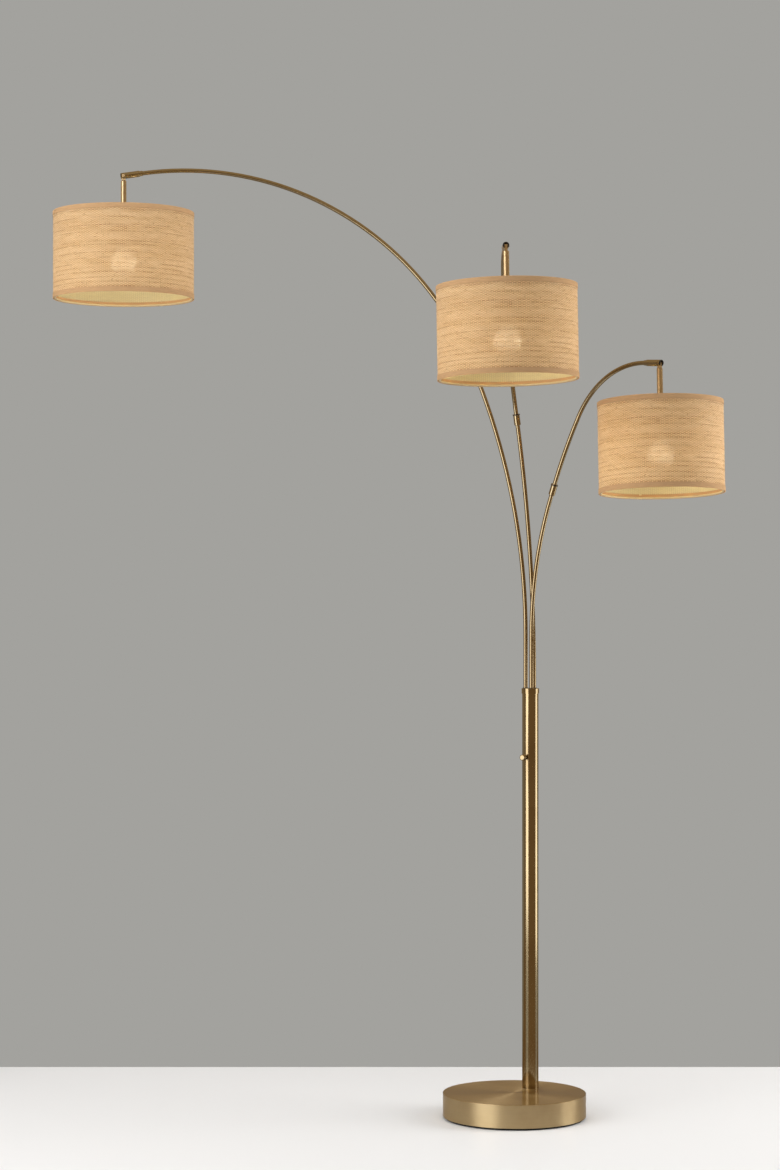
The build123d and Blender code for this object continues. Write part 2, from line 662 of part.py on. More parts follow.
def shade_binding(diameter):
    """Tape folded over the shade's top and bottom edges."""
    inside = drum_inside(diameter)
    groove_outside = diameter - 2 * BINDING_THICKNESS
    groove_inside = inside + 2 * BINDING_THICKNESS
    bottom = SHADE_TOP - SHADE_HEIGHT
    upper = pipe(diameter, inside, SHADE_TOP - BINDING_WIDTH, SHADE_TOP)
    groove_end = SHADE_TOP - BINDING_WIDTH - CUT_PAST
    upper -= pipe(groove_outside, groove_inside, groove_end, SHADE_TOP - BINDING_THICKNESS)
    lower = pipe(diameter, inside, bottom, bottom + BINDING_WIDTH)
    groove_end = bottom + BINDING_WIDTH + CUT_PAST
    lower -= pipe(groove_outside, groove_inside, bottom + BINDING_THICKNESS, groove_end)
    return Compound(children=[upper, lower])


def bulb_outline(wall):
    """Half outline of the bulb's glass, set in from its surface by a wall."""
    radius = BULB_DIAMETER / 2 - wall
    neck = BULB_NECK_DIAMETER / 2 - wall
    widest = -(BULB_LENGTH - BULB_DIAMETER / 2)
    top = Line((0, 0), (neck, 0))
    straight = Line((neck, 0), (neck, -BULB_NECK_LENGTH))
    swell = Spline((neck, -BULB_NECK_LENGTH), (radius, widest), tangents=((0, -1), (0, -1)))
    end = ThreePointArc(
        (radius, widest),
        (radius * cos(radians(45)), widest - radius * sin(radians(45))),
        (0, widest - radius),
    )
    axis = Line((0, widest - radius), (0, 0))
    face = make_face([top, straight, swell, end, axis])
    return revolve(Plane.XZ * face, Axis.Z)


def bulb():
    """Bulb: hollow glass on a solid screw base in the lamp holder."""
    glass = bulb_outline(0.0) - bulb_outline(BULB_WALL)
    base = disc(BULB_BASE_DIAMETER, -BULB_NECK_LENGTH, BULB_BASE_LENGTH)
    return Pos(0, 0, SOCKET_MOUTH) * (glass + base)


def build():
    """Every piece of the lamp, by name."""
    pieces = {
        "base_pad": base_pad(),
        "base_weight": base_weight(),
        "base_cover": base_cover(),
        "cord_bushing": cord_bushing(),
        "pole_stud": pole_stud(),
        "stud_nut": stud_nut(),
        "pole_foot": pole_foot(),
        "lower_pole": lower_pole(),
        "pole_coupler": pole_coupler(),
        "upper_pole": upper_pole(),
        "pole_cap": pole_cap(),
        "arm_bushes": arm_bushes(),
        "arm_holder": arm_holder(),
        "pole_lead": pole_lead(),
        "switch_body": switch_body(),
        "switch_nut": switch_nut(),
        "switch_shaft": switch_shaft(),
        "switch_knob": switch_knob(),
    }
    tube_bore = TUBE_DIAMETER - 2 * TUBE_WALL
    for arm in ARMS:
        lower, upper, elbow = lay_out(arm)
        arm_pieces = {
            "lower_tube": sweep_round(lower, TUBE_DIAMETER, tube_bore),
            "collar": collar(lower),
            "upper_tube": sweep_round(upper, TUBE_DIAMETER, tube_bore),
            "elbow": elbow_body(elbow),
            "pivot_screw": pivot_screw(elbow),
            "lead": sweep_round(lower + upper, LEAD_DIAMETER),
        }
        head_pieces = {
            "drop_rod": drop_rod(),
            "socket_cup": socket_cup(),
            "socket": lamp_socket(),
            "ring_nut": ring_nut(),
            "shade_frame": shade_frame(arm.shade_diameter),
            "shade_drum": shade_drum(arm.shade_diameter),
            "shade_binding": shade_binding(arm.shade_diameter),
            "bulb": bulb(),
        }
        place = head_plane(arm, elbow).location
        for name, shape in arm_pieces.items():
            pieces[f"{arm.name}_{name}"] = shape
        for name, shape in head_pieces.items():
            pieces[f"{arm.name}_{name}"] = place * shape
    return pieces


os.makedirs("parts", exist_ok=True)
for node, shape in build().items():
    export_step(shape, f"parts/{node}.step")
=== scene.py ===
"""Dresses the arc floor lamp: woven shades with taped edges, brass, glowing bulbs and a studio."""

import json
from math import atan2, cos, pi, radians, sin

import bpy
from mathutils import Matrix, Vector


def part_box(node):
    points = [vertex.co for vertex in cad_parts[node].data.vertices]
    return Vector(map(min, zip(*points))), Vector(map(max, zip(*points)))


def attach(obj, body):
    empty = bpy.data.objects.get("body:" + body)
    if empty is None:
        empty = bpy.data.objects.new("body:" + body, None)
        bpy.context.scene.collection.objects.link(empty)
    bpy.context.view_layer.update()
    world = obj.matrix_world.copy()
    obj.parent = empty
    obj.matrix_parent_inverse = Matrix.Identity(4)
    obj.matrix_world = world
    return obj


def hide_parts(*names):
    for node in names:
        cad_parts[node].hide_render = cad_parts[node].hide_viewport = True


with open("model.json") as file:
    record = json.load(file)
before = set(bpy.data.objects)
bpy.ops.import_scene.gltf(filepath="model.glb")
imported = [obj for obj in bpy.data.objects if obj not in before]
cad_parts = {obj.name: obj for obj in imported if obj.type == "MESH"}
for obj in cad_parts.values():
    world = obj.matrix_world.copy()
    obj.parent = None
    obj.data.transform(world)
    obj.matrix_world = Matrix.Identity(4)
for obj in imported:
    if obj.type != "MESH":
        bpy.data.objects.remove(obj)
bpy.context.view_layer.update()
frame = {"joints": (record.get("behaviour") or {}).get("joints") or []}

bl_info = {
    "name": "Arc floor lamp dressing",
    "version": (1, 0, 0),
    "blender": (4, 5, 0),
    "location": "3D View > Sidebar > Lamp",
    "description": "Makes the shades, tapes, finishes and studio of an arc floor lamp",
    "category": "Object",
}

ARMS = ("high", "mid", "low")
UP = Vector((0.0, 0.0, 1.0))
SHADE_UV = "wrap"
GLUE_GAP = 0.0001
LAMP_MIDDLE = Vector((-0.25, 0.0, 1.15))
LAMP_FOOT = Vector((-0.25, -0.2, 0.0))
RIM_TARGET = Vector((0.0, 0.0, 0.52))


# Sizes and colours that a user would change


def length(name, description, default):
    """A length in metres."""
    return bpy.props.FloatProperty(
        name=name, description=description, default=default, unit="LENGTH", precision=4
    )


def angle(name, description, default):
    """An angle, given in degrees."""
    return bpy.props.FloatProperty(
        name=name, description=description, default=radians(default), subtype="ANGLE"
    )


def colour(name, description, default):
    """A linear colour."""
    return bpy.props.FloatVectorProperty(
        name=name, description=description, default=default, size=3, min=0.0, max=1.0, subtype="COLOR"
    )


def number(name, description, default):
    """A plain number."""
    return bpy.props.FloatProperty(name=name, description=description, default=default)


def place(name, description, default):
    """A point in metres."""
    return bpy.props.FloatVectorProperty(
        name=name, description=description, default=default, size=3, subtype="TRANSLATION", precision=4
    )


class LampShadeSizes(bpy.types.PropertyGroup):
    """Sizes of the drum shades and their tapes."""

    drop: length("Drop", "From the knuckle's pivot down to the shade's top", 0.086)
    height: length("Height", "Height of each shade", 0.203)
    high_diameter: length("High diameter", "Diameter of the high shade over its tape", 0.330)
    mid_diameter: length("Mid diameter", "Diameter of the mid shade over its tape", 0.305)
    low_diameter: length("Low diameter", "Diameter of the low shade over its tape", 0.279)
    high_lean: angle("High lean", "How far the high shade's bottom stands out", 0.0)
    mid_lean: angle("Mid lean", "How far the mid shade's bottom stands out", 1.0)
    low_lean: angle("Low lean", "How far the low shade's bottom stands out", 3.0)
    high_seam: angle("High seam", "Where the high shade's cloth is lapped, round from +X", 62.0)
    mid_seam: angle("Mid seam", "Where the mid shade's cloth is lapped, round from +X", 84.0)
    low_seam: angle("Low seam", "Where the low shade's cloth is lapped, round from +X", 105.0)
    wall: length("Wall", "Thickness of the woven wall", 0.0012)
    lap: length("Lap", "Width of the lapped seam", 0.014)
    lap_step: length("Lap step", "How far the lap stands in from the wall", 0.0005)
    strand: length("Strand", "Height of one strand of the weave", 0.0025)
    strand_relief: length("Strand relief", "How far a strand's middle stands out from its edges", 0.00022)
    warp: length("Warp", "Distance between the upright threads of the weave", 0.0048)
    tape_width: length("Tape width", "How far the tape covers the shade's edge", 0.011)
    tape_thickness: length("Tape thickness", "Thickness of the tape", 0.0005)
    tape_thread: length("Tape thread", "Distance between the tape's threads", 0.0011)


class LampColours(bpy.types.PropertyGroup):
    """Colours of the finishes."""

    brass: colour("Brass", "Clean brushed brass", (0.37, 0.286, 0.160))
    brown: colour("Brown brass", "Brass where it has darkened", (0.21, 0.132, 0.052))
    brass_slant: colour("Brass slant", "Tint of brass that is seen at a slant", (0.60, 0.48, 0.34))
    straw: colour("Straw", "Pale strands of the weave", (0.93, 0.68, 0.395))
    tan: colour("Tan", "Browner strands of the weave", (0.67, 0.405, 0.180))
    # Also the colour of the painted shade in the weave's grooves.
    bark: colour("Bark", "Dark strands and flecks of the weave", (0.43, 0.185, 0.062))
    tape: colour("Tape", "Tape on the shades' edges", (0.58, 0.350, 0.175))
    lining: colour("Lining", "Inside of the shades", (0.74, 0.71, 0.43))
    bulb_light: colour("Bulb light", "Colour of the bulbs' light", (1.0, 0.80, 0.50))
    bulb_frost: colour("Bulb frost", "Paler light in the bulbs' frosting", (1.0, 0.90, 0.70))
    bulb_glass: colour("Bulb glass", "Frosted glass of the bulbs", (0.90, 0.87, 0.80))
    black: colour("Black", "Rubber and moulded plastic", (0.018, 0.017, 0.016))
    steel: colour("Steel", "Screws, nuts and the stud", (0.50, 0.48, 0.45))
    dust: colour("Dust", "Dust on rubber and plastic", (0.30, 0.28, 0.25))
    iron: colour("Iron", "Cast weight", (0.060, 0.057, 0.054))
    rust: colour("Rust", "Rust on the cast weight", (0.13, 0.055, 0.022))
    enamel: colour("Enamel", "Painted wire of the shade frames", (0.60, 0.47, 0.25))


class LampStage(bpy.types.PropertyGroup):
    """Studio round the lamp."""

    floor: colour("Floor", "Pale floor", (0.89, 0.88, 0.87))
    # The floor's colour paints a pool of light: pale round the lamp, greyer farther out.
    far_floor: colour("Far floor", "Greyer floor away from the lamp, near the lights", (0.46, 0.455, 0.45))
    pale_reach: length("Pale reach", "How far from the lamp the floor stays pale", 1.2)
    grey_reach: length("Grey reach", "How far from the lamp the floor is all grey", 2.2)
    backdrop: colour("Backdrop", "Grey behind the floor", (0.366, 0.361, 0.342))
    backdrop_line: length("Backdrop line", "Where the pale floor ends behind the lamp", 0.693)
    room: colour("Room", "Dim room round the lamp, as the brass mirrors it", (0.28, 0.185, 0.095))
    room_behind: colour("Room behind", "Room behind the lamp, as the brass mirrors it", (0.43, 0.365, 0.285))
    room_above: colour("Room above", "Room over the lamp, as the brass mirrors it", (0.540, 0.430, 0.280))
    even_light: colour("Even light", "Dim light from all round", (0.25, 0.25, 0.25))
    room_distance: length("Room distance", "How far from the lamp the dim room begins", 0.5)
    camera: place("Camera", "Where the camera stands", (-0.2868, -6.272, 1.169))
    focal_length: number("Focal length", "In millimetres for a 36 mm long side", 83.69)
    camera_shift: number("Camera shift", "Upward shift as a share of the picture's long side", 0.0218)
    bulb_strength: number("Bulb strength", "Strength of the bulbs' glow", 19.0)


# Node helpers


def feed(tree, socket, value):
    """Links a socket to another one, or sets it to a plain value."""
    if isinstance(value, bpy.types.NodeSocket):
        tree.links.new(value, socket)
        return
    if socket.type == "RGBA" and len(value) == 3:
        value = (*value, 1.0)
    socket.default_value = value


def maths(tree, operation, *values):
    """One sum on plain numbers; gives back its output."""
    made = tree.nodes.new("ShaderNodeMath")
    made.operation = operation
    for socket, value in zip(made.inputs, values):
        feed(tree, socket, value)
    return made.outputs[0]


def smooth_step(tree, value, low, high):
    """Rises smoothly from 0 to 1 as a value goes from low to high."""
    made = tree.nodes.new("ShaderNodeMapRange")
    made.interpolation_type = "SMOOTHSTEP"
    for socket, given in zip(made.inputs, (value, low, high, 0.0, 1.0)):
        feed(tree, socket, given)
    return made.outputs[0]


def span(tree, value, low, high):
    """Spreads a value from 0 to 1 over low to high."""
    made = tree.nodes.new("ShaderNodeMapRange")
    for socket, given in zip(made.inputs, (value, 0.0, 1.0, low, high)):
        feed(tree, socket, given)
    return made.outputs[0]


def vector(tree, x, y, z=0.0):
    """Three numbers as a vector."""
    made = tree.nodes.new("ShaderNodeCombineXYZ")
    for socket, value in zip(made.inputs, (x, y, z)):
        feed(tree, socket, value)
    return made.outputs[0]


def parts(tree, value):
    """A vector's three numbers."""
    made = tree.nodes.new("ShaderNodeSeparateXYZ")
    feed(tree, made.inputs[0], value)
    return made.outputs


def noise(tree, where, scale=1.0, detail=2.0, roughness=0.5):
    """Soft random value over a place."""
    made = tree.nodes.new("ShaderNodeTexNoise")
    feed(tree, made.inputs["Vector"], where)
    made.inputs["Scale"].default_value = scale
    made.inputs["Detail"].default_value = detail
    made.inputs["Roughness"].default_value = roughness
    return made.outputs["Fac"]


def stretched(tree, x, x_scale, y, y_scale):
    """Two numbers as a place, each with its own scale."""
    return vector(tree, maths(tree, "MULTIPLY", x, x_scale), maths(tree, "MULTIPLY", y, y_scale))


def dice(tree, value):
    """A random number for each whole number."""
    made = tree.nodes.new("ShaderNodeTexWhiteNoise")
    made.noise_dimensions = "1D"
    feed(tree, made.inputs["W"], value)
    return made.outputs["Value"]


def mixed(tree, share, first, second, blend="MIX"):
    """Mixes two colours."""
    made = tree.nodes.new("ShaderNodeMix")
    made.data_type = "RGBA"
    made.blend_type = blend
    feed(tree, made.inputs["Factor"], share)
    feed(tree, made.inputs["A"], first)
    feed(tree, made.inputs["B"], second)
    return made.outputs["Result"]


def shaded(tree, tint, light):
    """A colour made lighter or darker by a number."""
    return mixed(tree, 1.0, tint, vector(tree, light, light, light), blend="MULTIPLY")


def bump(tree, height, strength, distance):
    """Normal raised by a height."""
    made = tree.nodes.new("ShaderNodeBump")
    made.inputs["Strength"].default_value = strength
    made.inputs["Distance"].default_value = distance
    feed(tree, made.inputs["Height"], height)
    return made.outputs["Normal"]


def object_place(tree, centre=(0.0, 0.0, 0.0)):
    """Object coordinates, moved so that a centre is at zero."""
    source = tree.nodes.new("ShaderNodeTexCoord")
    moved = tree.nodes.new("ShaderNodeMapping")
    moved.inputs["Location"].default_value = [-value for value in centre]
    tree.links.new(source.outputs["Object"], moved.inputs["Vector"])
    return moved.outputs["Vector"]


def uv_place(tree):
    """The piece's own wrapped coordinates, in metres."""
    source = tree.nodes.new("ShaderNodeUVMap")
    source.uv_map = SHADE_UV
    return source.outputs["UV"]


def new_group(name, inputs, outputs):
    """An empty node group with named sockets; gives the tree, its inputs and its outputs."""
    tree = bpy.data.node_groups.new(name, "ShaderNodeTree")
    for label, kind in inputs.items():
        tree.interface.new_socket(label, in_out="INPUT", socket_type=kind)
    for label, kind in outputs.items():
        tree.interface.new_socket(label, in_out="OUTPUT", socket_type=kind)
    given = tree.nodes.new("NodeGroupInput").outputs
    wanted = tree.nodes.new("NodeGroupOutput").inputs
    return tree, given, wanted


def use_group(tree, group, **values):
    """Places a group in a material and sets or links its inputs; gives back its outputs."""
    made = tree.nodes.new("ShaderNodeGroup")
    made.node_tree = group
    for label, value in values.items():
        feed(tree, made.inputs[label], value)
    return made.outputs


def new_material(name):
    """A material with only its Principled shader; gives the material, its tree and the shader."""
    made = bpy.data.materials.new(name)
    made.use_nodes = True
    return made, made.node_tree, made.node_tree.nodes["Principled BSDF"]


# Effects that several finishes share

FLOAT, VECTOR, COLOUR = "NodeSocketFloat", "NodeSocketVector", "NodeSocketColor"
CLOUD_DEPTH = 0.34  # how far clouds and specks of tarnish darken the brass
SPECK_DEPTH = 0.14
DUST_DEPTH = 0.10
ROWS_IN_BAND = 5.0  # strands of the weave, one of them dark
STRAND_WANDER = 0.0020
STRAND_TAN = 1.6  # tan that single strands and whole bands of them bring
BAND_TAN = 1.4
TAN_OFFSET = -1.1
DASH_DEPTH = 0.56  # how far each mark of the weave takes over the strand's colour
FLECK_DEPTH = 0.50
OVER_DEPTH = 0.80
UNDER_DEPTH = 0.44
# Painted shade: how far the grooves between the strands are darkened.
GROOVE_SHADE_DEPTH = 0.30
CREST_HEIGHT = 0.7  # shares of the weave's height
THREAD_HEIGHT = 0.3
TAPE_LIGHT = 0.68  # least light on the tape, and what its mottling and its threads add
MOTTLE_LIGHT = 0.34
# Painted highlight: the crests of the tape's threads are made lighter.
PAINTED_THREAD_HIGHLIGHT = 0.16


def tarnish_group():
    """Cloudy darkening and small spots of handled brass."""
    tree, given, wanted = new_group(
        "tarnish",
        {"Place": VECTOR, "Clean": COLOUR, "Dark": COLOUR},
        {"Color": COLOUR, "Dullness": FLOAT},
    )
    clouds = noise(tree, given["Place"], scale=7.0, detail=4.0, roughness=0.6)
    cloud_share = smooth_step(tree, clouds, 0.38, 0.72)
    specks = noise(tree, given["Place"], scale=260.0, detail=2.0)
    speck_share = smooth_step(tree, specks, 0.66, 0.80)
    cloud_depth = maths(tree, "MULTIPLY", cloud_share, CLOUD_DEPTH)
    share = maths(tree, "MULTIPLY_ADD", speck_share, SPECK_DEPTH, cloud_depth)
    feed(tree, wanted["Color"], mixed(tree, share, given["Clean"], given["Dark"]))
    feed(tree, wanted["Dullness"], share)
    return tree


def brushed_group():
    """Fine scratches that run one way: long in the third coordinate and close in the first two."""
    tree, given, wanted = new_group(
        "brushed lines", {"Place": VECTOR, "Pitch": FLOAT, "Length": FLOAT}, {"Scratch": FLOAT}
    )
    x, y, z = parts(tree, given["Place"])
    across = vector(
        tree,
        maths(tree, "DIVIDE", x, given["Pitch"]),
        maths(tree, "DIVIDE", y, given["Pitch"]),
        maths(tree, "DIVIDE", z, given["Length"]),
    )
    feed(tree, wanted["Scratch"], noise(tree, across, scale=1.0, detail=3.0, roughness=0.65))
    return tree


def moulded_group():
    """Fine pebbled grain of moulded rubber and plastic, with dust in its hollows."""
    tree, given, wanted = new_group(
        "moulded grain", {"Place": VECTOR, "Color": COLOUR}, {"Color": COLOUR, "Height": FLOAT}
    )
    grain = noise(tree, given["Place"], scale=900.0, detail=2.0)
    dust = smooth_step(tree, noise(tree, given["Place"], scale=40.0, detail=4.0), 0.50, 0.80)
    share = maths(tree, "MULTIPLY", dust, DUST_DEPTH)
    feed(tree, wanted["Color"], mixed(tree, share, given["Color"], bpy.context.scene.lamp_colours.dust))
    feed(tree, wanted["Height"], grain)
    return tree


def weave_group():
    """Grass cloth: uneven level strands, some of them dark, tied by thin upright threads, with painted shade
    in the grooves between the strands.
    """
    tree, given, wanted = new_group(
        "grass weave",
        {"Place": VECTOR, "Strand": FLOAT, "Warp": FLOAT, "Straw": COLOUR, "Tan": COLOUR, "Bark": COLOUR},
        {"Color": COLOUR, "Height": FLOAT, "Gap": FLOAT},
    )
    u, v, _ = parts(tree, given["Place"])

    # Level strands, which wander up and down a little
    drift = noise(tree, stretched(tree, u, 6.0, v, 22.0), detail=1.0)
    wander = maths(tree, "MULTIPLY", maths(tree, "SUBTRACT", drift, 0.5), STRAND_WANDER)
    row = maths(tree, "DIVIDE", maths(tree, "ADD", v, wander), given["Strand"])
    row_index = maths(tree, "FLOOR", row)
    off_crest = maths(tree, "ABSOLUTE", maths(tree, "MULTIPLY_ADD", maths(tree, "FRACT", row), 2.0, -1.0))
    crest = maths(tree, "SUBTRACT", 1.0, maths(tree, "MULTIPLY", off_crest, off_crest))
    valley = smooth_step(tree, off_crest, 0.55, 1.0)

    # Upright threads, over and under the strands by turns
    column = maths(tree, "DIVIDE", u, given["Warp"])
    column_index = maths(tree, "FLOOR", column)
    off_thread = maths(tree, "ABSOLUTE", maths(tree, "SUBTRACT", maths(tree, "FRACT", column), 0.5))
    thread = maths(tree, "SUBTRACT", 1.0, smooth_step(tree, off_thread, 0.14, 0.28))
    crossing = maths(tree, "ABSOLUTE", maths(tree, "ADD", row_index, column_index))
    over = maths(tree, "MULTIPLY", thread, maths(tree, "MODULO", crossing, 2.0))
    under = maths(tree, "SUBTRACT", thread, over)

    # Colour along the strands: tan in places, and one dark strand in each band
    strand_tone = noise(tree, stretched(tree, u, 20.0, row_index, 5.37), detail=3.0, roughness=0.6)
    band_tone = noise(tree, stretched(tree, u, 4.0, v, 60.0), detail=2.0)
    strand_share = maths(tree, "MULTIPLY", strand_tone, STRAND_TAN)
    band_share = maths(tree, "MULTIPLY_ADD", band_tone, BAND_TAN, TAN_OFFSET)
    tan_share = maths(tree, "ADD", strand_share, band_share)
    band_index = maths(tree, "FLOOR", maths(tree, "DIVIDE", row_index, ROWS_IN_BAND))
    row_in_band = maths(tree, "MULTIPLY_ADD", band_index, -ROWS_IN_BAND, row_index)
    dark_row = maths(tree, "MULTIPLY", dice(tree, band_index), ROWS_IN_BAND)
    in_dark_row = maths(tree, "COMPARE", maths(tree, "ADD", row_in_band, 0.5), dark_row, 0.5)
    dash_noise = noise(tree, stretched(tree, u, 24.0, row_index, 7.91), detail=3.0, roughness=0.6)
    dark_dashes = maths(tree, "MULTIPLY", in_dark_row, smooth_step(tree, dash_noise, 0.36, 0.60))
    stray_dashes = smooth_step(tree, dash_noise, 0.60, 0.74)
    dashes = maths(tree, "MAXIMUM", dark_dashes, stray_dashes)
    fleck_noise = noise(tree, stretched(tree, u, 150.0, row_index, 3.11), detail=1.0)
    flecks = smooth_step(tree, fleck_noise, 0.62, 0.72)

    # The colours, laid over each other
    tone = mixed(tree, tan_share, given["Straw"], given["Tan"])
    tone = mixed(tree, maths(tree, "MULTIPLY", dashes, DASH_DEPTH), tone, given["Bark"])
    tone = mixed(tree, maths(tree, "MULTIPLY", flecks, FLECK_DEPTH), tone, given["Bark"])
    tone = mixed(tree, maths(tree, "MULTIPLY", over, OVER_DEPTH), tone, given["Straw"])
    tone = mixed(tree, maths(tree, "MULTIPLY", under, UNDER_DEPTH), tone, given["Bark"])
    # Painted shade: the grooves between the strands are darkened toward the dark colour.
    tone = mixed(tree, maths(tree, "MULTIPLY", valley, GROOVE_SHADE_DEPTH), tone, given["Bark"])
    feed(tree, wanted["Color"], tone)
    crest_height = maths(tree, "MULTIPLY", crest, CREST_HEIGHT)
    thread_height = maths(tree, "MULTIPLY", over, THREAD_HEIGHT)
    feed(tree, wanted["Height"], maths(tree, "ADD", crest_height, thread_height))

    # Gaps between the strands, wider in places
    tightness = noise(tree, stretched(tree, u, 70.0, row_index, 2.3), detail=2.0)
    openness = smooth_step(tree, tightness, 0.10, 0.60)
    beside_thread = maths(tree, "SUBTRACT", 1.0, thread)
    open_valley = maths(tree, "MULTIPLY", smooth_step(tree, off_crest, 0.35, 0.80), openness)
    feed(tree, wanted["Gap"], maths(tree, "MULTIPLY", open_valley, beside_thread))
    return tree


def tape_group():
    """Close plain weave of a cloth tape, with a painted highlight on the crests of its threads."""
    tree, given, wanted = new_group(
        "tape weave", {"Place": VECTOR, "Thread": FLOAT, "Color": COLOUR}, {"Color": COLOUR, "Height": FLOAT}
    )
    u, v, _ = parts(tree, given["Place"])
    waves = []
    for value in (u, v):
        turn = maths(tree, "MULTIPLY", maths(tree, "DIVIDE", value, given["Thread"]), pi)
        waves.append(maths(tree, "ABSOLUTE", maths(tree, "SINE", turn)))
    height = maths(tree, "MULTIPLY", waves[0], waves[1])
    mottle = noise(tree, stretched(tree, u, 60.0, v, 420.0), detail=3.0)
    uneven = maths(tree, "MULTIPLY_ADD", mottle, MOTTLE_LIGHT, TAPE_LIGHT)
    # Painted highlight: the crests of the threads are made lighter.
    light = maths(tree, "MULTIPLY_ADD", height, PAINTED_THREAD_HIGHLIGHT, uneven)
    feed(tree, wanted["Color"], shaded(tree, given["Color"], light))
    feed(tree, wanted["Height"], height)
    return tree


GROUP_MAKERS = {
    "tarnish": tarnish_group,
    "brushed lines": brushed_group,
    "moulded grain": moulded_group,
    "grass weave": weave_group,
    "tape weave": tape_group,
}


def shared(name):
    """A shared effect, built the first time that it is asked for."""
    return bpy.data.node_groups.get(name) or GROUP_MAKERS[name]()


# Finishes

KNUCKLE_BRASS_END = 0.0042  # past a knuckle's pivot
COLLAR_LIP_HEIGHT = 0.0028
BLACK_EDGE = 0.0006  # over which a blackened end begins
AXIS_ROUNDS = 20  # of turning a collar's axis toward its longest way
RING_ARC = 0.16  # metres round the base cover for each radian, near its edge
SCRATCH_SHADE = (0.86, 1.10)  # light on brass in and beside a scratch
SCRATCH_DEPTH = 0.0004
PATINA_DULLNESS = 0.05
LACQUER = 0.35
LACQUER_ROUGHNESS = 0.10
CHIP_DEPTH = 0.5  # how far bare steel shows where the enamel is chipped
STRANDS_THROUGH = 0.18  # how far the strands show through the lining
GAP_CLEARNESS = 0.43  # share of the light that goes straight through a gap in the weave
SCREW_BASE = (0.42, 0.50)  # where a bulb's glass ends, as shares of its half height from its middle
GLOW_TOP = (-0.60, 0.35)  # where its glow fades upward, and then downward, in the same shares
GLOW_FOOT = (-1.0, -0.40)
FOOT_GLOW = 0.15  # what is left of the glow at the bulb's lower end


def finish_brass(tree, shader, where, scratch, smooth, rough, light=1.0, relief=0.010):
    """Sets a brass shader: darkened in clouds, and dulled by its scratches; gives back its colour."""
    colours = bpy.context.scene.lamp_colours
    patina = use_group(tree, shared("tarnish"), Place=where, Clean=colours.brass, Dark=colours.brown)
    darker, lighter = SCRATCH_SHADE
    # A light above 1 paints the whole brass colour lighter, as painted light.
    tinted = shaded(tree, patina["Color"], span(tree, scratch, darker * light, lighter * light))
    brushed = span(tree, scratch, smooth, rough)
    dull = maths(tree, "MULTIPLY_ADD", patina["Dullness"], PATINA_DULLNESS, brushed)
    shader.inputs["Metallic"].default_value = 1.0
    shader.inputs["Specular Tint"].default_value = (*colours.brass_slant, 1.0)
    shader.inputs["Coat Weight"].default_value = LACQUER
    shader.inputs["Coat Roughness"].default_value = LACQUER_ROUGHNESS
    feed(tree, shader.inputs["Base Color"], tinted)
    feed(tree, shader.inputs["Roughness"], dull)
    feed(tree, shader.inputs["Normal"], bump(tree, scratch, relief, SCRATCH_DEPTH))
    return tinted


def spun_brass():
    """Base cover: brushed in rings while it was spun, and its brass painted lighter than the other brass, as
    painted light.
    """
    material, tree, shader = new_material("spun_brass")
    where = object_place(tree)
    x, y, z = parts(tree, where)
    square = maths(tree, "MULTIPLY_ADD", x, x, maths(tree, "MULTIPLY", y, y))
    radius = maths(tree, "SQRT", square)
    arc = maths(tree, "MULTIPLY", maths(tree, "ARCTAN2", y, x), RING_ARC)
    rings = vector(tree, radius, z, arc)
    scratch = use_group(tree, shared("brushed lines"), Place=rings, Pitch=0.0007, Length=0.10)["Scratch"]
    # The cover's brass colour is painted 1.4 times lighter than the other brass: painted light.
    finish_brass(tree, shader, where, scratch, smooth=0.36, rough=0.54, light=1.40, relief=0.04)
    shader.inputs["Anisotropic"].default_value = 0.85
    shader.inputs["Anisotropic Rotation"].default_value = 0.25
    tangent = tree.nodes.new("ShaderNodeTangent")
    tangent.direction_type = "RADIAL"
    tangent.axis = "Z"
    tree.links.new(tangent.outputs["Tangent"], shader.inputs["Tangent"])
    return material


def drawn_brass(name, centre):
    """Pole tubes: brushed along their length."""
    material, tree, shader = new_material(name)
    where = object_place(tree, centre)
    scratch = use_group(tree, shared("brushed lines"), Place=where, Pitch=0.0009, Length=0.16)["Scratch"]
    finish_brass(tree, shader, where, scratch, smooth=0.11, rough=0.17)
    return material


def bent_brass():
    """Arm tubes: polished after bending, with only small uneven marks."""
    material, tree, shader = new_material("bent_brass")
    where = object_place(tree)
    scratch = use_group(tree, shared("brushed lines"), Place=where, Pitch=0.0016, Length=0.012)["Scratch"]
    finish_brass(tree, shader, where, scratch, smooth=0.11, rough=0.17)
    return material


def lathe_marks(tree, where):
    """Fine rings that a lathe leaves."""
    x, y, z = parts(tree, where)
    rings = vector(tree, z, z, maths(tree, "ADD", x, y))
    return use_group(tree, shared("brushed lines"), Place=rings, Pitch=0.0006, Length=0.02)["Scratch"]


def turned_brass():
    """Rods, cups, cap, screws and knob: fine marks of the lathe."""
    material, tree, shader = new_material("turned_brass")
    where = object_place(tree)
    finish_brass(tree, shader, where, lathe_marks(tree, where), smooth=0.10, rough=0.18)
    return material


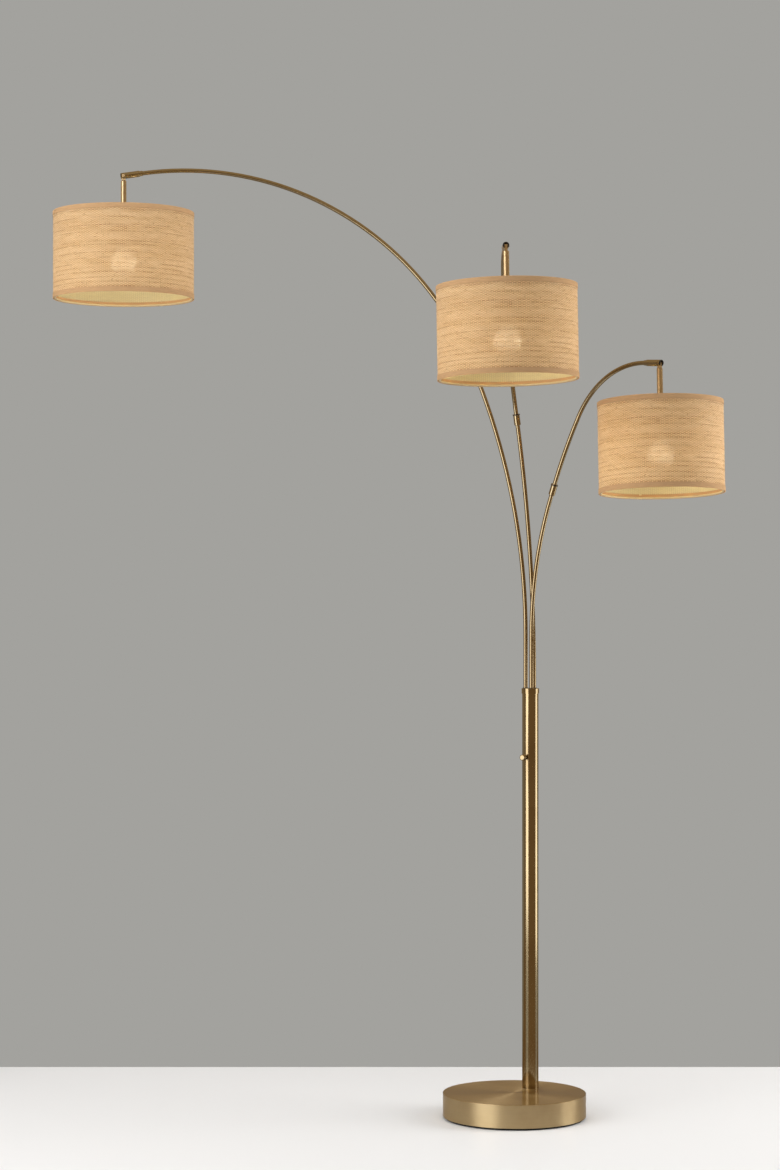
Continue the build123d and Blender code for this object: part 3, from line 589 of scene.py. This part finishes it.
def black_ended_brass(name, middle, outward, brass_end):
    """Turned brass that is blackened from some way out along a direction from its middle."""
    material, tree, shader = new_material(name)
    where = object_place(tree)
    tinted = finish_brass(tree, shader, where, lathe_marks(tree, where), smooth=0.10, rough=0.18)
    out = tree.nodes.new("ShaderNodeVectorMath")
    out.operation = "DOT_PRODUCT"
    feed(tree, out.inputs[0], object_place(tree, middle))
    feed(tree, out.inputs[1], outward)
    black_share = smooth_step(tree, out.outputs["Value"], brass_end, brass_end + BLACK_EDGE)
    black = bpy.context.scene.lamp_colours.black
    feed(tree, shader.inputs["Base Color"], mixed(tree, black_share, tinted, black))
    feed(tree, shader.inputs["Metallic"], maths(tree, "SUBTRACT", 1.0, black_share))
    return material


def knuckle_brass(arm):
    """Knuckle: its outer end is black."""
    pivot, _, _, outward = tilt_frame(arm)
    return black_ended_brass(f"knuckle_brass_{arm}", pivot, outward, KNUCKLE_BRASS_END)


def collar_brass(arm):
    """Collar: its upper lip is black."""
    points = [vertex.co for vertex in bpy.data.objects[f"{arm}_collar"].data.vertices]
    middle = sum(points, Vector()) / len(points)
    along = UP
    for _ in range(AXIS_ROUNDS):
        offsets = [point - middle for point in points]
        along = sum((offset * offset.dot(along) for offset in offsets), Vector()).normalized()
    top = max((point - middle).dot(along) for point in points)
    return black_ended_brass(f"collar_brass_{arm}", middle, along, top - COLLAR_LIP_HEIGHT)


def moulded_black(name, roughness, grain_depth):
    """Rubber or moulded plastic."""
    material, tree, shader = new_material(name)
    where = object_place(tree)
    grain = use_group(tree, shared("moulded grain"), Place=where, Color=bpy.context.scene.lamp_colours.black)
    feed(tree, shader.inputs["Base Color"], grain["Color"])
    feed(tree, shader.inputs["Normal"], bump(tree, grain["Height"], strength=0.25, distance=grain_depth))
    shader.inputs["Roughness"].default_value = roughness
    return material


def plain_steel():
    """Screws, nuts and the stud: bright metal with fine machining marks."""
    material, tree, shader = new_material("plain_steel")
    where = object_place(tree)
    scratch = lathe_marks(tree, where)
    tinted = shaded(tree, bpy.context.scene.lamp_colours.steel, span(tree, scratch, 0.75, 1.10))
    feed(tree, shader.inputs["Base Color"], tinted)
    feed(tree, shader.inputs["Roughness"], span(tree, scratch, 0.25, 0.45))
    shader.inputs["Metallic"].default_value = 1.0
    return material


def cast_iron():
    """Weight in the base: rough casting skin with a little rust."""
    material, tree, shader = new_material("cast_iron")
    where = object_place(tree)
    skin = noise(tree, where, scale=420.0, detail=4.0, roughness=0.7)
    rust = smooth_step(tree, noise(tree, where, scale=22.0, detail=5.0), 0.52, 0.75)
    colours = bpy.context.scene.lamp_colours
    tinted = mixed(tree, rust, colours.iron, colours.rust)
    feed(tree, shader.inputs["Base Color"], tinted)
    feed(tree, shader.inputs["Roughness"], span(tree, skin, 0.65, 0.95))
    feed(tree, shader.inputs["Normal"], bump(tree, skin, strength=0.6, distance=0.0006))
    return material


def enamelled_wire():
    """Shade frames: pale paint that gathers in soft ripples."""
    material, tree, shader = new_material("enamelled_wire")
    where = object_place(tree)
    ripple = noise(tree, where, scale=160.0, detail=2.0)
    chips = smooth_step(tree, noise(tree, where, scale=310.0, detail=3.0), 0.70, 0.74)
    colours = bpy.context.scene.lamp_colours
    tinted = mixed(tree, maths(tree, "MULTIPLY", chips, CHIP_DEPTH), colours.enamel, colours.steel)
    feed(tree, shader.inputs["Base Color"], tinted)
    feed(tree, shader.inputs["Roughness"], span(tree, ripple, 0.30, 0.50))
    feed(tree, shader.inputs["Normal"], bump(tree, ripple, strength=0.15, distance=0.0008))
    return material


def lit_bulb(arm):
    """Frosted bulb that glows, brightest round its globe's middle, on a bright screw base."""
    colours = bpy.context.scene.lamp_colours
    low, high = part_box(f"{arm}_bulb")
    material, tree, shader = new_material(f"lit_bulb_{arm}")
    where = object_place(tree, middle_of(f"{arm}_bulb"))
    height = maths(tree, "DIVIDE", parts(tree, where)[2], (high.z - low.z) / 2)
    frost = noise(tree, where, scale=700.0, detail=2.0)
    glass_share = maths(tree, "SUBTRACT", 1.0, smooth_step(tree, height, *SCREW_BASE))
    feed(tree, shader.inputs["Base Color"], mixed(tree, glass_share, colours.steel, colours.bulb_glass))
    glow = mixed(tree, span(tree, frost, 0.0, 0.25), colours.bulb_light, colours.bulb_frost)
    above = maths(tree, "SUBTRACT", 1.0, smooth_step(tree, height, *GLOW_TOP))
    below = span(tree, smooth_step(tree, height, *GLOW_FOOT), FOOT_GLOW, 1.0)
    globe_share = maths(tree, "MULTIPLY", above, below)
    feed(tree, shader.inputs["Emission Color"], mixed(tree, globe_share, (0.0, 0.0, 0.0), glow))
    shader.inputs["Emission Strength"].default_value = bpy.context.scene.lamp_stage.bulb_strength
    feed(tree, shader.inputs["Roughness"], span(tree, frost, 0.35, 0.60))
    return material


def woven_cloth():
    """Outside of the shades: grass cloth that lets some of the bulb's light through."""
    material, tree, shader = new_material("woven_cloth")
    weave = place_weave(tree)
    feed(tree, shader.inputs["Base Color"], weave["Color"])
    feed(tree, shader.inputs["Roughness"], span(tree, weave["Height"], 0.88, 0.68))
    feed(tree, shader.inputs["Normal"], bump(tree, weave["Height"], strength=0.5, distance=0.0006))
    shader.inputs["Sheen Weight"].default_value = 0.15
    let_light_through(tree, shader, weave["Gap"], weave["Color"], share=0.32)
    return material


def lining_cloth():
    """Inside of the shades: pale backing with the strands showing faintly through."""
    material, tree, shader = new_material("lining_cloth")
    weave = place_weave(tree)
    tinted = mixed(tree, STRANDS_THROUGH, bpy.context.scene.lamp_colours.lining, weave["Color"])
    feed(tree, shader.inputs["Base Color"], tinted)
    feed(tree, shader.inputs["Roughness"], span(tree, weave["Height"], 0.75, 0.60))
    feed(tree, shader.inputs["Normal"], bump(tree, weave["Height"], strength=0.2, distance=0.0004))
    let_light_through(tree, shader, weave["Gap"], tinted, share=0.40)
    return material


def place_weave(tree):
    """The shared weave with the shades' sizes and colours."""
    colours = bpy.context.scene.lamp_colours
    sizes = bpy.context.scene.lamp_shades
    return use_group(
        tree, shared("grass weave"), Place=uv_place(tree), Strand=sizes.strand, Warp=sizes.warp,
        Straw=colours.straw, Tan=colours.tan, Bark=colours.bark,
    )


def let_light_through(tree, shader, gap, tint, share):
    """Opens a cloth's gaps and mixes in light from behind it."""
    feed(tree, shader.inputs["Alpha"], maths(tree, "MULTIPLY_ADD", gap, -GAP_CLEARNESS, 1.0))
    translucent = tree.nodes.new("ShaderNodeBsdfTranslucent")
    feed(tree, translucent.inputs["Color"], tint)
    both = tree.nodes.new("ShaderNodeMixShader")
    both.inputs["Fac"].default_value = share
    tree.links.new(shader.outputs["BSDF"], both.inputs[1])
    tree.links.new(translucent.outputs["BSDF"], both.inputs[2])
    tree.links.new(both.outputs["Shader"], tree.nodes["Material Output"].inputs["Surface"])


def cloth_tape():
    """Tape folded over the shades' edges."""
    material, tree, shader = new_material("cloth_tape")
    tape = use_group(
        tree, shared("tape weave"), Place=uv_place(tree), Thread=bpy.context.scene.lamp_shades.tape_thread,
        Color=bpy.context.scene.lamp_colours.tape,
    )
    feed(tree, shader.inputs["Base Color"], tape["Color"])
    feed(tree, shader.inputs["Roughness"], span(tree, tape["Height"], 0.92, 0.75))
    feed(tree, shader.inputs["Normal"], bump(tree, tape["Height"], strength=0.35, distance=0.0003))
    shader.inputs["Specular IOR Level"].default_value = 0.15
    return material


def dress(names, material):
    """Gives CAD nodes a material in all their slots."""
    for name in names:
        data = bpy.data.objects[name].data
        if not data.materials:
            data.materials.append(material)
        for index in range(len(data.materials)):
            data.materials[index] = material


# Modelling helpers

DRUM_SIDES = 180
SELECT_MODES = {
    "vertices": (True, False, False),
    "edges": (False, True, False),
    "polygons": (False, False, True),
}


def middle_of(node):
    """The middle of a CAD node's box."""
    low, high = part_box(node)
    return (low + high) / 2


def start_piece(name):
    """Names the primitive just added and deselects all of its mesh."""
    piece = bpy.context.object
    piece.name = name
    piece.data.name = name
    bpy.ops.object.mode_set(mode="EDIT")
    bpy.ops.mesh.select_all(action="DESELECT")
    bpy.ops.object.mode_set(mode="OBJECT")
    return piece


def select_where(piece, kind, wanted):
    """Selects only the vertices, edges or faces that a test picks, and goes into edit mode."""
    mesh = piece.data
    for group in (mesh.vertices, mesh.edges, mesh.polygons):
        group.foreach_set("select", [False] * len(group))
    for item in getattr(mesh, kind):
        item.select = wanted(item)
    bpy.context.tool_settings.mesh_select_mode = SELECT_MODES[kind]
    bpy.ops.object.mode_set(mode="EDIT")


def leave_edit():
    """Goes back to object mode."""
    bpy.ops.object.mode_set(mode="OBJECT")


def apply_modifier(piece, kind, **settings):
    """Adds a modifier and applies it."""
    modifier = piece.modifiers.new(kind.title(), kind)
    for label, value in settings.items():
        setattr(modifier, label, value)
    bpy.ops.object.modifier_apply(modifier=modifier.name)


def round_angle(point):
    """A point's angle round the upright axis."""
    return atan2(point[1], point[0])


def turn_between(start, end):
    """The shorter turn from one angle to another."""
    return (end - start + pi) % (2 * pi) - pi


def wrap_uv(piece, radius):
    """Wrapped coordinates: metres round the drum and metres up."""
    mesh = piece.data
    while mesh.uv_layers:
        mesh.uv_layers.remove(mesh.uv_layers[0])
    layer = mesh.uv_layers.new(name=SHADE_UV)
    for face in mesh.polygons:
        middle = round_angle(face.center)
        for loop in face.loop_indices:
            point = mesh.vertices[mesh.loops[loop].vertex_index].co
            turn = middle + turn_between(middle, round_angle(point))
            layer.data[loop].uv = (turn * radius, point.z)


def tilt_frame(arm):
    """An arm's tilt joint: its pivot, and the directions across, up and out from the arm."""
    joint = next(joint for joint in frame["joints"] if joint["name"] == f"{arm}_tilt")
    across = Vector(joint["axis"])
    upright = (UP - across * UP.dot(across)).normalized()
    return Vector(joint["pos_m"]), across, upright, upright.cross(across)


def shade_frame(arm):
    """The place of an arm's shade: its middle at zero, with Z along its axis."""
    sizes = bpy.context.scene.lamp_shades
    pivot, _, upright, outward = tilt_frame(arm)
    lean = getattr(sizes, f"{arm}_lean")
    up = upright * cos(lean) - outward * sin(lean)
    middle = pivot - up * (sizes.drop + sizes.height / 2)
    return Matrix.Translation(middle) @ UP.rotation_difference(up).to_matrix().to_4x4()


def settle(piece, arm, node):
    """Puts a finished shade piece in its place and lets it ride on the arm's head."""
    piece.matrix_world = shade_frame(arm)
    bpy.ops.object.select_all(action="DESELECT")
    piece.select_set(True)
    bpy.context.view_layer.objects.active = piece
    bpy.ops.object.transform_apply(location=True, rotation=True, scale=True)
    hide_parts(node)
    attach(piece, f"{arm}_head")


def shade_radius(arm):
    """Radius of an arm's shade over its tape."""
    return getattr(bpy.context.scene.lamp_shades, f"{arm}_diameter") / 2


def drum_size(sizes, arm):
    """Radius and height of an arm's woven drum, which leaves room for its tape."""
    tape_room = sizes.tape_thickness + 2 * GLUE_GAP
    return shade_radius(arm) - tape_room, sizes.height - 2 * tape_room


# Operators


class LAMP_OT_weave_shades(bpy.types.Operator):
    """Makes the three woven drums, with a lapped seam and raised strands"""

    bl_idname = "lamp.weave_shades"
    bl_label = "Weave the shades"

    CREASE = radians(50.0)  # corners sharper than this stay sharp

    def execute(self, context):
        cloth = [woven_cloth(), lining_cloth()]
        for arm in ARMS:
            self.weave(context.scene.lamp_shades, arm, cloth)
        return {"FINISHED"}

    def weave(self, sizes, arm, cloth):
        """One drum, made upright at the origin and then put in its place."""
        outside, height = drum_size(sizes, arm)
        rows = round(height / sizes.strand) * 2
        bpy.ops.object.select_all(action="DESELECT")
        bpy.ops.mesh.primitive_cylinder_add(
            vertices=DRUM_SIDES, radius=outside - sizes.strand_relief, depth=height, end_fill_type="NOTHING"
        )
        piece = start_piece(f"{arm}_woven_drum")

        heights = [point.co.z for point in piece.data.vertices]
        select_where(piece, "edges", lambda edge: heights[edge.vertices[0]] != heights[edge.vertices[1]])
        bpy.ops.mesh.subdivide(number_cuts=rows - 1)
        leave_edit()

        step = height / rows
        swell = outside / (outside - sizes.strand_relief)
        select_where(piece, "vertices", lambda point: round((point.co.z + height / 2) / step) % 2 == 1)
        bpy.ops.transform.resize(value=(swell, swell, 1.0), center_override=(0.0, 0.0, 0.0))
        leave_edit()

        seam = getattr(sizes, f"{arm}_seam")
        lap = sizes.lap / outside

        def in_lap(face):
            return abs(turn_between(seam, round_angle(face.center))) < lap / 2

        select_where(piece, "polygons", in_lap)
        bpy.ops.mesh.extrude_region_shrink_fatten(TRANSFORM_OT_shrink_fatten={"value": -sizes.lap_step})
        leave_edit()

        piece.data.materials.append(cloth[0])
        piece.data.materials.append(cloth[1])
        apply_modifier(piece, "SOLIDIFY", thickness=sizes.wall, offset=-1.0, material_offset=1)
        wrap_uv(piece, outside)
        bpy.ops.object.shade_smooth_by_angle(angle=self.CREASE)
        settle(piece, arm, f"{arm}_shade_drum")


class LAMP_OT_bind_shades(bpy.types.Operator):
    """Folds a tape over the top and bottom edge of each shade"""

    bl_idname = "lamp.bind_shades"
    bl_label = "Bind the shades"

    CREASE = radians(40.0)  # corners sharper than this stay sharp
    FOLD_STEPS = 3
    FOLD_ROUND = 0.42  # how far the fold is rounded, as a share of the tape's folded width
    MERGED = 0.0001  # points closer than this count as level

    def execute(self, context):
        tape = cloth_tape()
        for arm in ARMS:
            self.bind(context.scene.lamp_shades, arm, tape)
        return {"FINISHED"}

    def bind(self, sizes, arm, tape):
        """Both tapes of one shade: an outer band, folded in over the edge and down inside."""
        outside = shade_radius(arm)
        inside = outside - 2 * sizes.tape_thickness - sizes.wall - 4 * GLUE_GAP
        half = sizes.height / 2
        bpy.ops.object.select_all(action="DESELECT")
        bpy.ops.mesh.primitive_cylinder_add(
            vertices=DRUM_SIDES, radius=outside, depth=sizes.tape_width, end_fill_type="NOTHING",
            location=(0.0, 0.0, half - sizes.tape_width / 2),
        )
        piece = start_piece(f"{arm}_shade_tape")
        bpy.ops.object.transform_apply(location=True, rotation=True, scale=True)

        select_where(piece, "edges", lambda edge: self.is_rim(piece, edge, half))
        bpy.ops.mesh.extrude_region_move()
        fold = inside / outside
        bpy.ops.transform.resize(value=(fold, fold, 1.0), center_override=(0.0, 0.0, half))
        bpy.ops.mesh.extrude_region_move(TRANSFORM_OT_translate={"value": (0.0, 0.0, -sizes.tape_width)})
        leave_edit()

        select_where(piece, "edges", lambda edge: self.is_rim(piece, edge, half))
        bpy.ops.mesh.bevel(offset=(outside - inside) * self.FOLD_ROUND, segments=self.FOLD_STEPS)
        bpy.ops.mesh.select_all(action="SELECT")
        bpy.ops.mesh.normals_make_consistent(inside=False)
        bpy.ops.mesh.duplicate()
        bpy.ops.transform.mirror(constraint_axis=(False, False, True), center_override=(0.0, 0.0, 0.0))
        bpy.ops.mesh.flip_normals()
        leave_edit()

        piece.data.materials.append(tape)
        apply_modifier(piece, "SOLIDIFY", thickness=sizes.tape_thickness, offset=-1.0)
        wrap_uv(piece, outside)
        bpy.ops.object.shade_smooth_by_angle(angle=self.CREASE)
        settle(piece, arm, f"{arm}_shade_binding")
        self.declare_cloth(sizes, arm, piece)

    def declare_cloth(self, sizes, arm, tape_piece):
        """Works out the radius and height of a drum's cloth, and does nothing more with them."""
        radius, height = drum_size(sizes, arm)

    def is_rim(self, piece, edge, top):
        """Whether an edge runs round the tape at its top."""
        first, second = [piece.data.vertices[index].co for index in edge.vertices]
        level = min(first.z, second.z) > top - self.MERGED
        return level and abs(first.xy.length - second.xy.length) < self.MERGED


class LAMP_OT_dress_base(bpy.types.Operator):
    """Finishes the base: spun cover, cast weight, pad and cord bushing"""

    bl_idname = "lamp.dress_base"
    bl_label = "Dress the base"

    def execute(self, context):
        dress(["base_cover"], spun_brass())
        dress(["base_weight"], cast_iron())
        dress(["base_pad"], moulded_black("pad_rubber", roughness=0.85, grain_depth=0.0006))
        dress(["cord_bushing"], moulded_black("bushing_rubber", roughness=0.55, grain_depth=0.0003))
        return {"FINISHED"}


class LAMP_OT_dress_pole(bpy.types.Operator):
    """Finishes the pole, what is inside it, its cap and the rotary switch"""

    bl_idname = "lamp.dress_pole"
    bl_label = "Dress the pole"

    def execute(self, context):
        for end in ("lower", "upper"):
            node = f"{end}_pole"
            dress([node], drawn_brass(f"drawn_brass_{end}", middle_of(node)))
        dress(["pole_cap", "switch_knob", "switch_nut"], turned_brass())
        dress(["pole_stud", "stud_nut", "pole_foot", "pole_coupler", "switch_shaft"], plain_steel())
        plastic = moulded_black("moulded_plastic", roughness=0.42, grain_depth=0.0002)
        dress(["arm_bushes", "arm_holder", "switch_body"], plastic)
        dress(["pole_lead"], moulded_black("cable_jacket", roughness=0.50, grain_depth=0.0002))
        return {"FINISHED"}


class LAMP_OT_dress_arms(bpy.types.Operator):
    """Finishes the arms: tubes, collars, knuckles, screws and cables"""

    bl_idname = "lamp.dress_arms"
    bl_label = "Dress the arms"

    def execute(self, context):
        tube = bent_brass()
        for arm in ARMS:
            dress([f"{arm}_lower_tube", f"{arm}_upper_tube"], tube)
            dress([f"{arm}_collar"], collar_brass(arm))
            dress([f"{arm}_pivot_screw"], bpy.data.materials["turned_brass"])
            dress([f"{arm}_elbow"], knuckle_brass(arm))
            dress([f"{arm}_lead"], bpy.data.materials["cable_jacket"])
        return {"FINISHED"}


class LAMP_OT_dress_heads(bpy.types.Operator):
    """Finishes the heads: drop rods, lamp holders, wire frames and bulbs"""

    bl_idname = "lamp.dress_heads"
    bl_label = "Dress the heads"

    def execute(self, context):
        holder = moulded_black("holder_plastic", roughness=0.38, grain_depth=0.0002)
        wire = enamelled_wire()
        for arm in ARMS:
            dress([f"{arm}_drop_rod", f"{arm}_socket_cup"], bpy.data.materials["turned_brass"])
            dress([f"{arm}_socket", f"{arm}_ring_nut"], holder)
            dress([f"{arm}_shade_frame"], wire)
            dress([f"{arm}_bulb"], lit_bulb(arm))
        return {"FINISHED"}


class LAMP_OT_set_stage(bpy.types.Operator):
    """Sets the studio: pale floor, grey backdrop, soft lights and the camera"""

    bl_idname = "lamp.set_stage"
    bl_label = "Set the stage"

    FLOOR_SIZE = 40.0
    FLOOR_MARKS = (0.80, 0.80, 0.80)
    FLOOR_GLOSS = 0.25
    PANELS = ((-140.0, 18.0), (2.0, 15.0))  # each mirrored panel's heading from the pole and half width
    PANEL_GLOW = (0.5, 0.5, 0.5)
    TOWARD_BACK = (-0.35, 0.75)  # over which the mirrored room changes, as parts of a direction
    TOWARD_TOP = (0.15, 0.50)
    SENSOR = 36.0  # millimetres on the picture's long side
    # Each light's name, place, width and height, what it faces, watts, and whether metal mirrors it
    LIGHTS = (
        ("key_light", (-2.70, -2.25, 1.60), (2.4, 3.2), LAMP_MIDDLE, 68.0, True),
        ("key_fill", (-3.20, -1.00, 1.50), (2.4, 3.0), LAMP_MIDDLE, 22.0, False),
        ("rim_light", (2.75, 0.15, 0.52), (1.5, 1.0), RIM_TARGET, 12.5, True),
        ("rim_fill", (3.00, -0.10, 1.60), (2.0, 3.2), LAMP_MIDDLE, 82.0, False),
        ("top_light", (-0.30, -0.60, 4.60), (4.0, 4.0), LAMP_FOOT, 94.0, False),
    )

    def execute(self, context):
        stage = context.scene.lamp_stage
        self.lay_floor(stage)
        self.paint_world(context, stage)
        for light in self.LIGHTS:
            self.hang_light(*light)
        self.stand_camera(context, stage)
        context.scene.view_settings.view_transform = "Standard"
        return {"FINISHED"}

    def lay_floor(self, stage):
        """Floor: pale round the lamp and greyer far out as a painted pool of light, grey behind the
        backdrop's line, and dim where brass mirrors it.
        """
        bpy.ops.object.select_all(action="DESELECT")
        bpy.ops.mesh.primitive_plane_add(size=self.FLOOR_SIZE)
        floor = start_piece("studio_floor")
        material, tree, shader = new_material("studio_floor")
        where = object_place(tree)
        x, y, _ = parts(tree, where)
        behind = maths(tree, "GREATER_THAN", y, stage.backdrop_line)
        square = maths(tree, "MULTIPLY_ADD", x, x, maths(tree, "MULTIPLY", y, y))
        far = maths(tree, "GREATER_THAN", square, stage.room_distance**2)
        paint = noise(tree, where, scale=3.0, detail=2.0)
        tint = mixed(tree, span(tree, paint, 0.0, 0.03), stage.floor, self.FLOOR_MARKS)
        # Painted pool of light: the floor is pale round the lamp and greyer far out.
        painted_pool_fade = smooth_step(tree, square, stage.pale_reach**2, stage.grey_reach**2)
        feed(tree, shader.inputs["Base Color"], mixed(tree, painted_pool_fade, tint, stage.far_floor))
        shader.inputs["Roughness"].default_value = 0.9
        shader.inputs["Specular IOR Level"].default_value = 0.1
        shader.inputs["Coat Weight"].default_value = self.FLOOR_GLOSS
        shader.inputs["Coat Roughness"].default_value = 0.12
        room = tree.nodes.new("ShaderNodeEmission")
        dim = mixed(tree, self.panel_share(tree, x, y), stage.room, self.PANEL_GLOW)
        feed(tree, room.inputs["Color"], mixed(tree, behind, dim, stage.backdrop))
        path = tree.nodes.new("ShaderNodeLightPath").outputs
        mirrored = maths(tree, "MULTIPLY", far, path["Is Glossy Ray"])
        seen = maths(tree, "MULTIPLY", behind, self.seen_directly(tree))
        both = tree.nodes.new("ShaderNodeMixShader")
        feed(tree, both.inputs["Fac"], maths(tree, "MAXIMUM", mirrored, seen))
        tree.links.new(shader.outputs["BSDF"], both.inputs[1])
        tree.links.new(room.outputs["Emission"], both.inputs[2])
        tree.links.new(both.outputs["Shader"], tree.nodes["Material Output"].inputs["Surface"])
        floor.data.materials.append(material)

    def panel_share(self, tree, x, y):
        """1 on the floor between the pole and a light panel, which the brass mirrors as one streak."""
        pole = middle_of("lower_pole")
        turn = maths(tree, "ARCTAN2", maths(tree, "SUBTRACT", y, pole.y), maths(tree, "SUBTRACT", x, pole.x))
        share = 0.0
        for heading, half_width in self.PANELS:
            off = maths(tree, "ABSOLUTE", maths(tree, "SUBTRACT", turn, radians(heading)))
            share = maths(tree, "MAXIMUM", share, maths(tree, "LESS_THAN", off, radians(half_width)))
        return share

    def seen_directly(self, tree):
        """1 for rays from the camera, or by way of metal or glass."""
        path = tree.nodes.new("ShaderNodeLightPath")
        total = maths(tree, "MAXIMUM", path.outputs["Is Camera Ray"], path.outputs["Is Glossy Ray"])
        return maths(tree, "MAXIMUM", total, path.outputs["Is Transmission Ray"])

    def paint_world(self, context, stage):
        """World: backdrop grey where it is seen, a dim room where brass mirrors it, and an even light."""
        world = bpy.data.worlds.new("studio")
        context.scene.world = world
        world.use_nodes = True
        tree = world.node_tree
        background = tree.nodes["Background"]
        path = tree.nodes.new("ShaderNodeLightPath")
        source = tree.nodes.new("ShaderNodeTexCoord")
        _, y, z = parts(tree, source.outputs["Generated"])
        around = mixed(tree, smooth_step(tree, y, *self.TOWARD_BACK), stage.room, stage.room_behind)
        mirrored = mixed(tree, smooth_step(tree, z, *self.TOWARD_TOP), around, stage.room_above)
        dim = mixed(tree, path.outputs["Is Glossy Ray"], stage.even_light, mirrored)
        direct = maths(tree, "MAXIMUM", path.outputs["Is Camera Ray"], path.outputs["Is Transmission Ray"])
        feed(tree, background.inputs["Color"], mixed(tree, direct, dim, stage.backdrop))

    def hang_light(self, name, location, size, target, power, in_metal):
        """A soft panel that faces a point; one that isn't in metal leaves no streak on the brass."""
        bpy.ops.object.select_all(action="DESELECT")
        bpy.ops.object.light_add(type="AREA", location=location)
        lamp = bpy.context.object
        lamp.name = name
        lamp.data.shape = "RECTANGLE"
        lamp.data.size, lamp.data.size_y = size
        lamp.data.energy = power
        lamp.visible_glossy = in_metal
        lamp.rotation_mode = "QUATERNION"
        lamp.rotation_quaternion = (target - Vector(location)).to_track_quat("-Z", "Y")

    def stand_camera(self, context, stage):
        """Camera: level, at the photograph's height and distance."""
        bpy.ops.object.camera_add(location=stage.camera, rotation=(pi / 2, 0.0, 0.0))
        camera = bpy.context.object
        camera.data.sensor_width = self.SENSOR
        camera.data.lens = stage.focal_length
        camera.data.shift_y = stage.camera_shift
        context.scene.camera = camera


class LAMP_PT_dressing(bpy.types.Panel):
    """Lists the lamp's settings and the steps that dress it"""

    bl_idname = "LAMP_PT_dressing"
    bl_label = "Arc floor lamp"
    bl_space_type = "VIEW_3D"
    bl_region_type = "UI"
    bl_category = "Lamp"

    def draw(self, context):
        for name in SETTINGS:
            settings = getattr(context.scene, name)
            box = self.layout.box()
            box.label(text=settings.__doc__ or name)
            for label in settings.__annotations__:
                box.prop(settings, label)
        for operator in OPERATORS:
            self.layout.operator(operator.bl_idname)


OPERATORS = (
    LAMP_OT_dress_base,
    LAMP_OT_dress_pole,
    LAMP_OT_dress_arms,
    LAMP_OT_dress_heads,
    LAMP_OT_weave_shades,
    LAMP_OT_bind_shades,
    LAMP_OT_set_stage,
)
SETTINGS = {"lamp_shades": LampShadeSizes, "lamp_colours": LampColours, "lamp_stage": LampStage}


def register():
    """Registers the settings, the operators and the panel."""
    for name, group in SETTINGS.items():
        bpy.utils.register_class(group)
        setattr(bpy.types.Scene, name, bpy.props.PointerProperty(type=group))
    for operator in OPERATORS:
        bpy.utils.register_class(operator)
    bpy.utils.register_class(LAMP_PT_dressing)


def unregister():
    """Takes the panel, the operators and the settings away again."""
    bpy.utils.unregister_class(LAMP_PT_dressing)
    for operator in reversed(OPERATORS):
        bpy.utils.unregister_class(operator)
    for name, group in SETTINGS.items():
        delattr(bpy.types.Scene, name)
        bpy.utils.unregister_class(group)


def main():
    """Dresses the lamp, piece by piece."""
    register()
    bpy.ops.lamp.dress_base()
    bpy.ops.lamp.dress_pole()
    bpy.ops.lamp.dress_arms()
    bpy.ops.lamp.dress_heads()
    bpy.ops.lamp.weave_shades()
    bpy.ops.lamp.bind_shades()
    bpy.ops.lamp.set_stage()


if __name__ == "__main__":
    main()
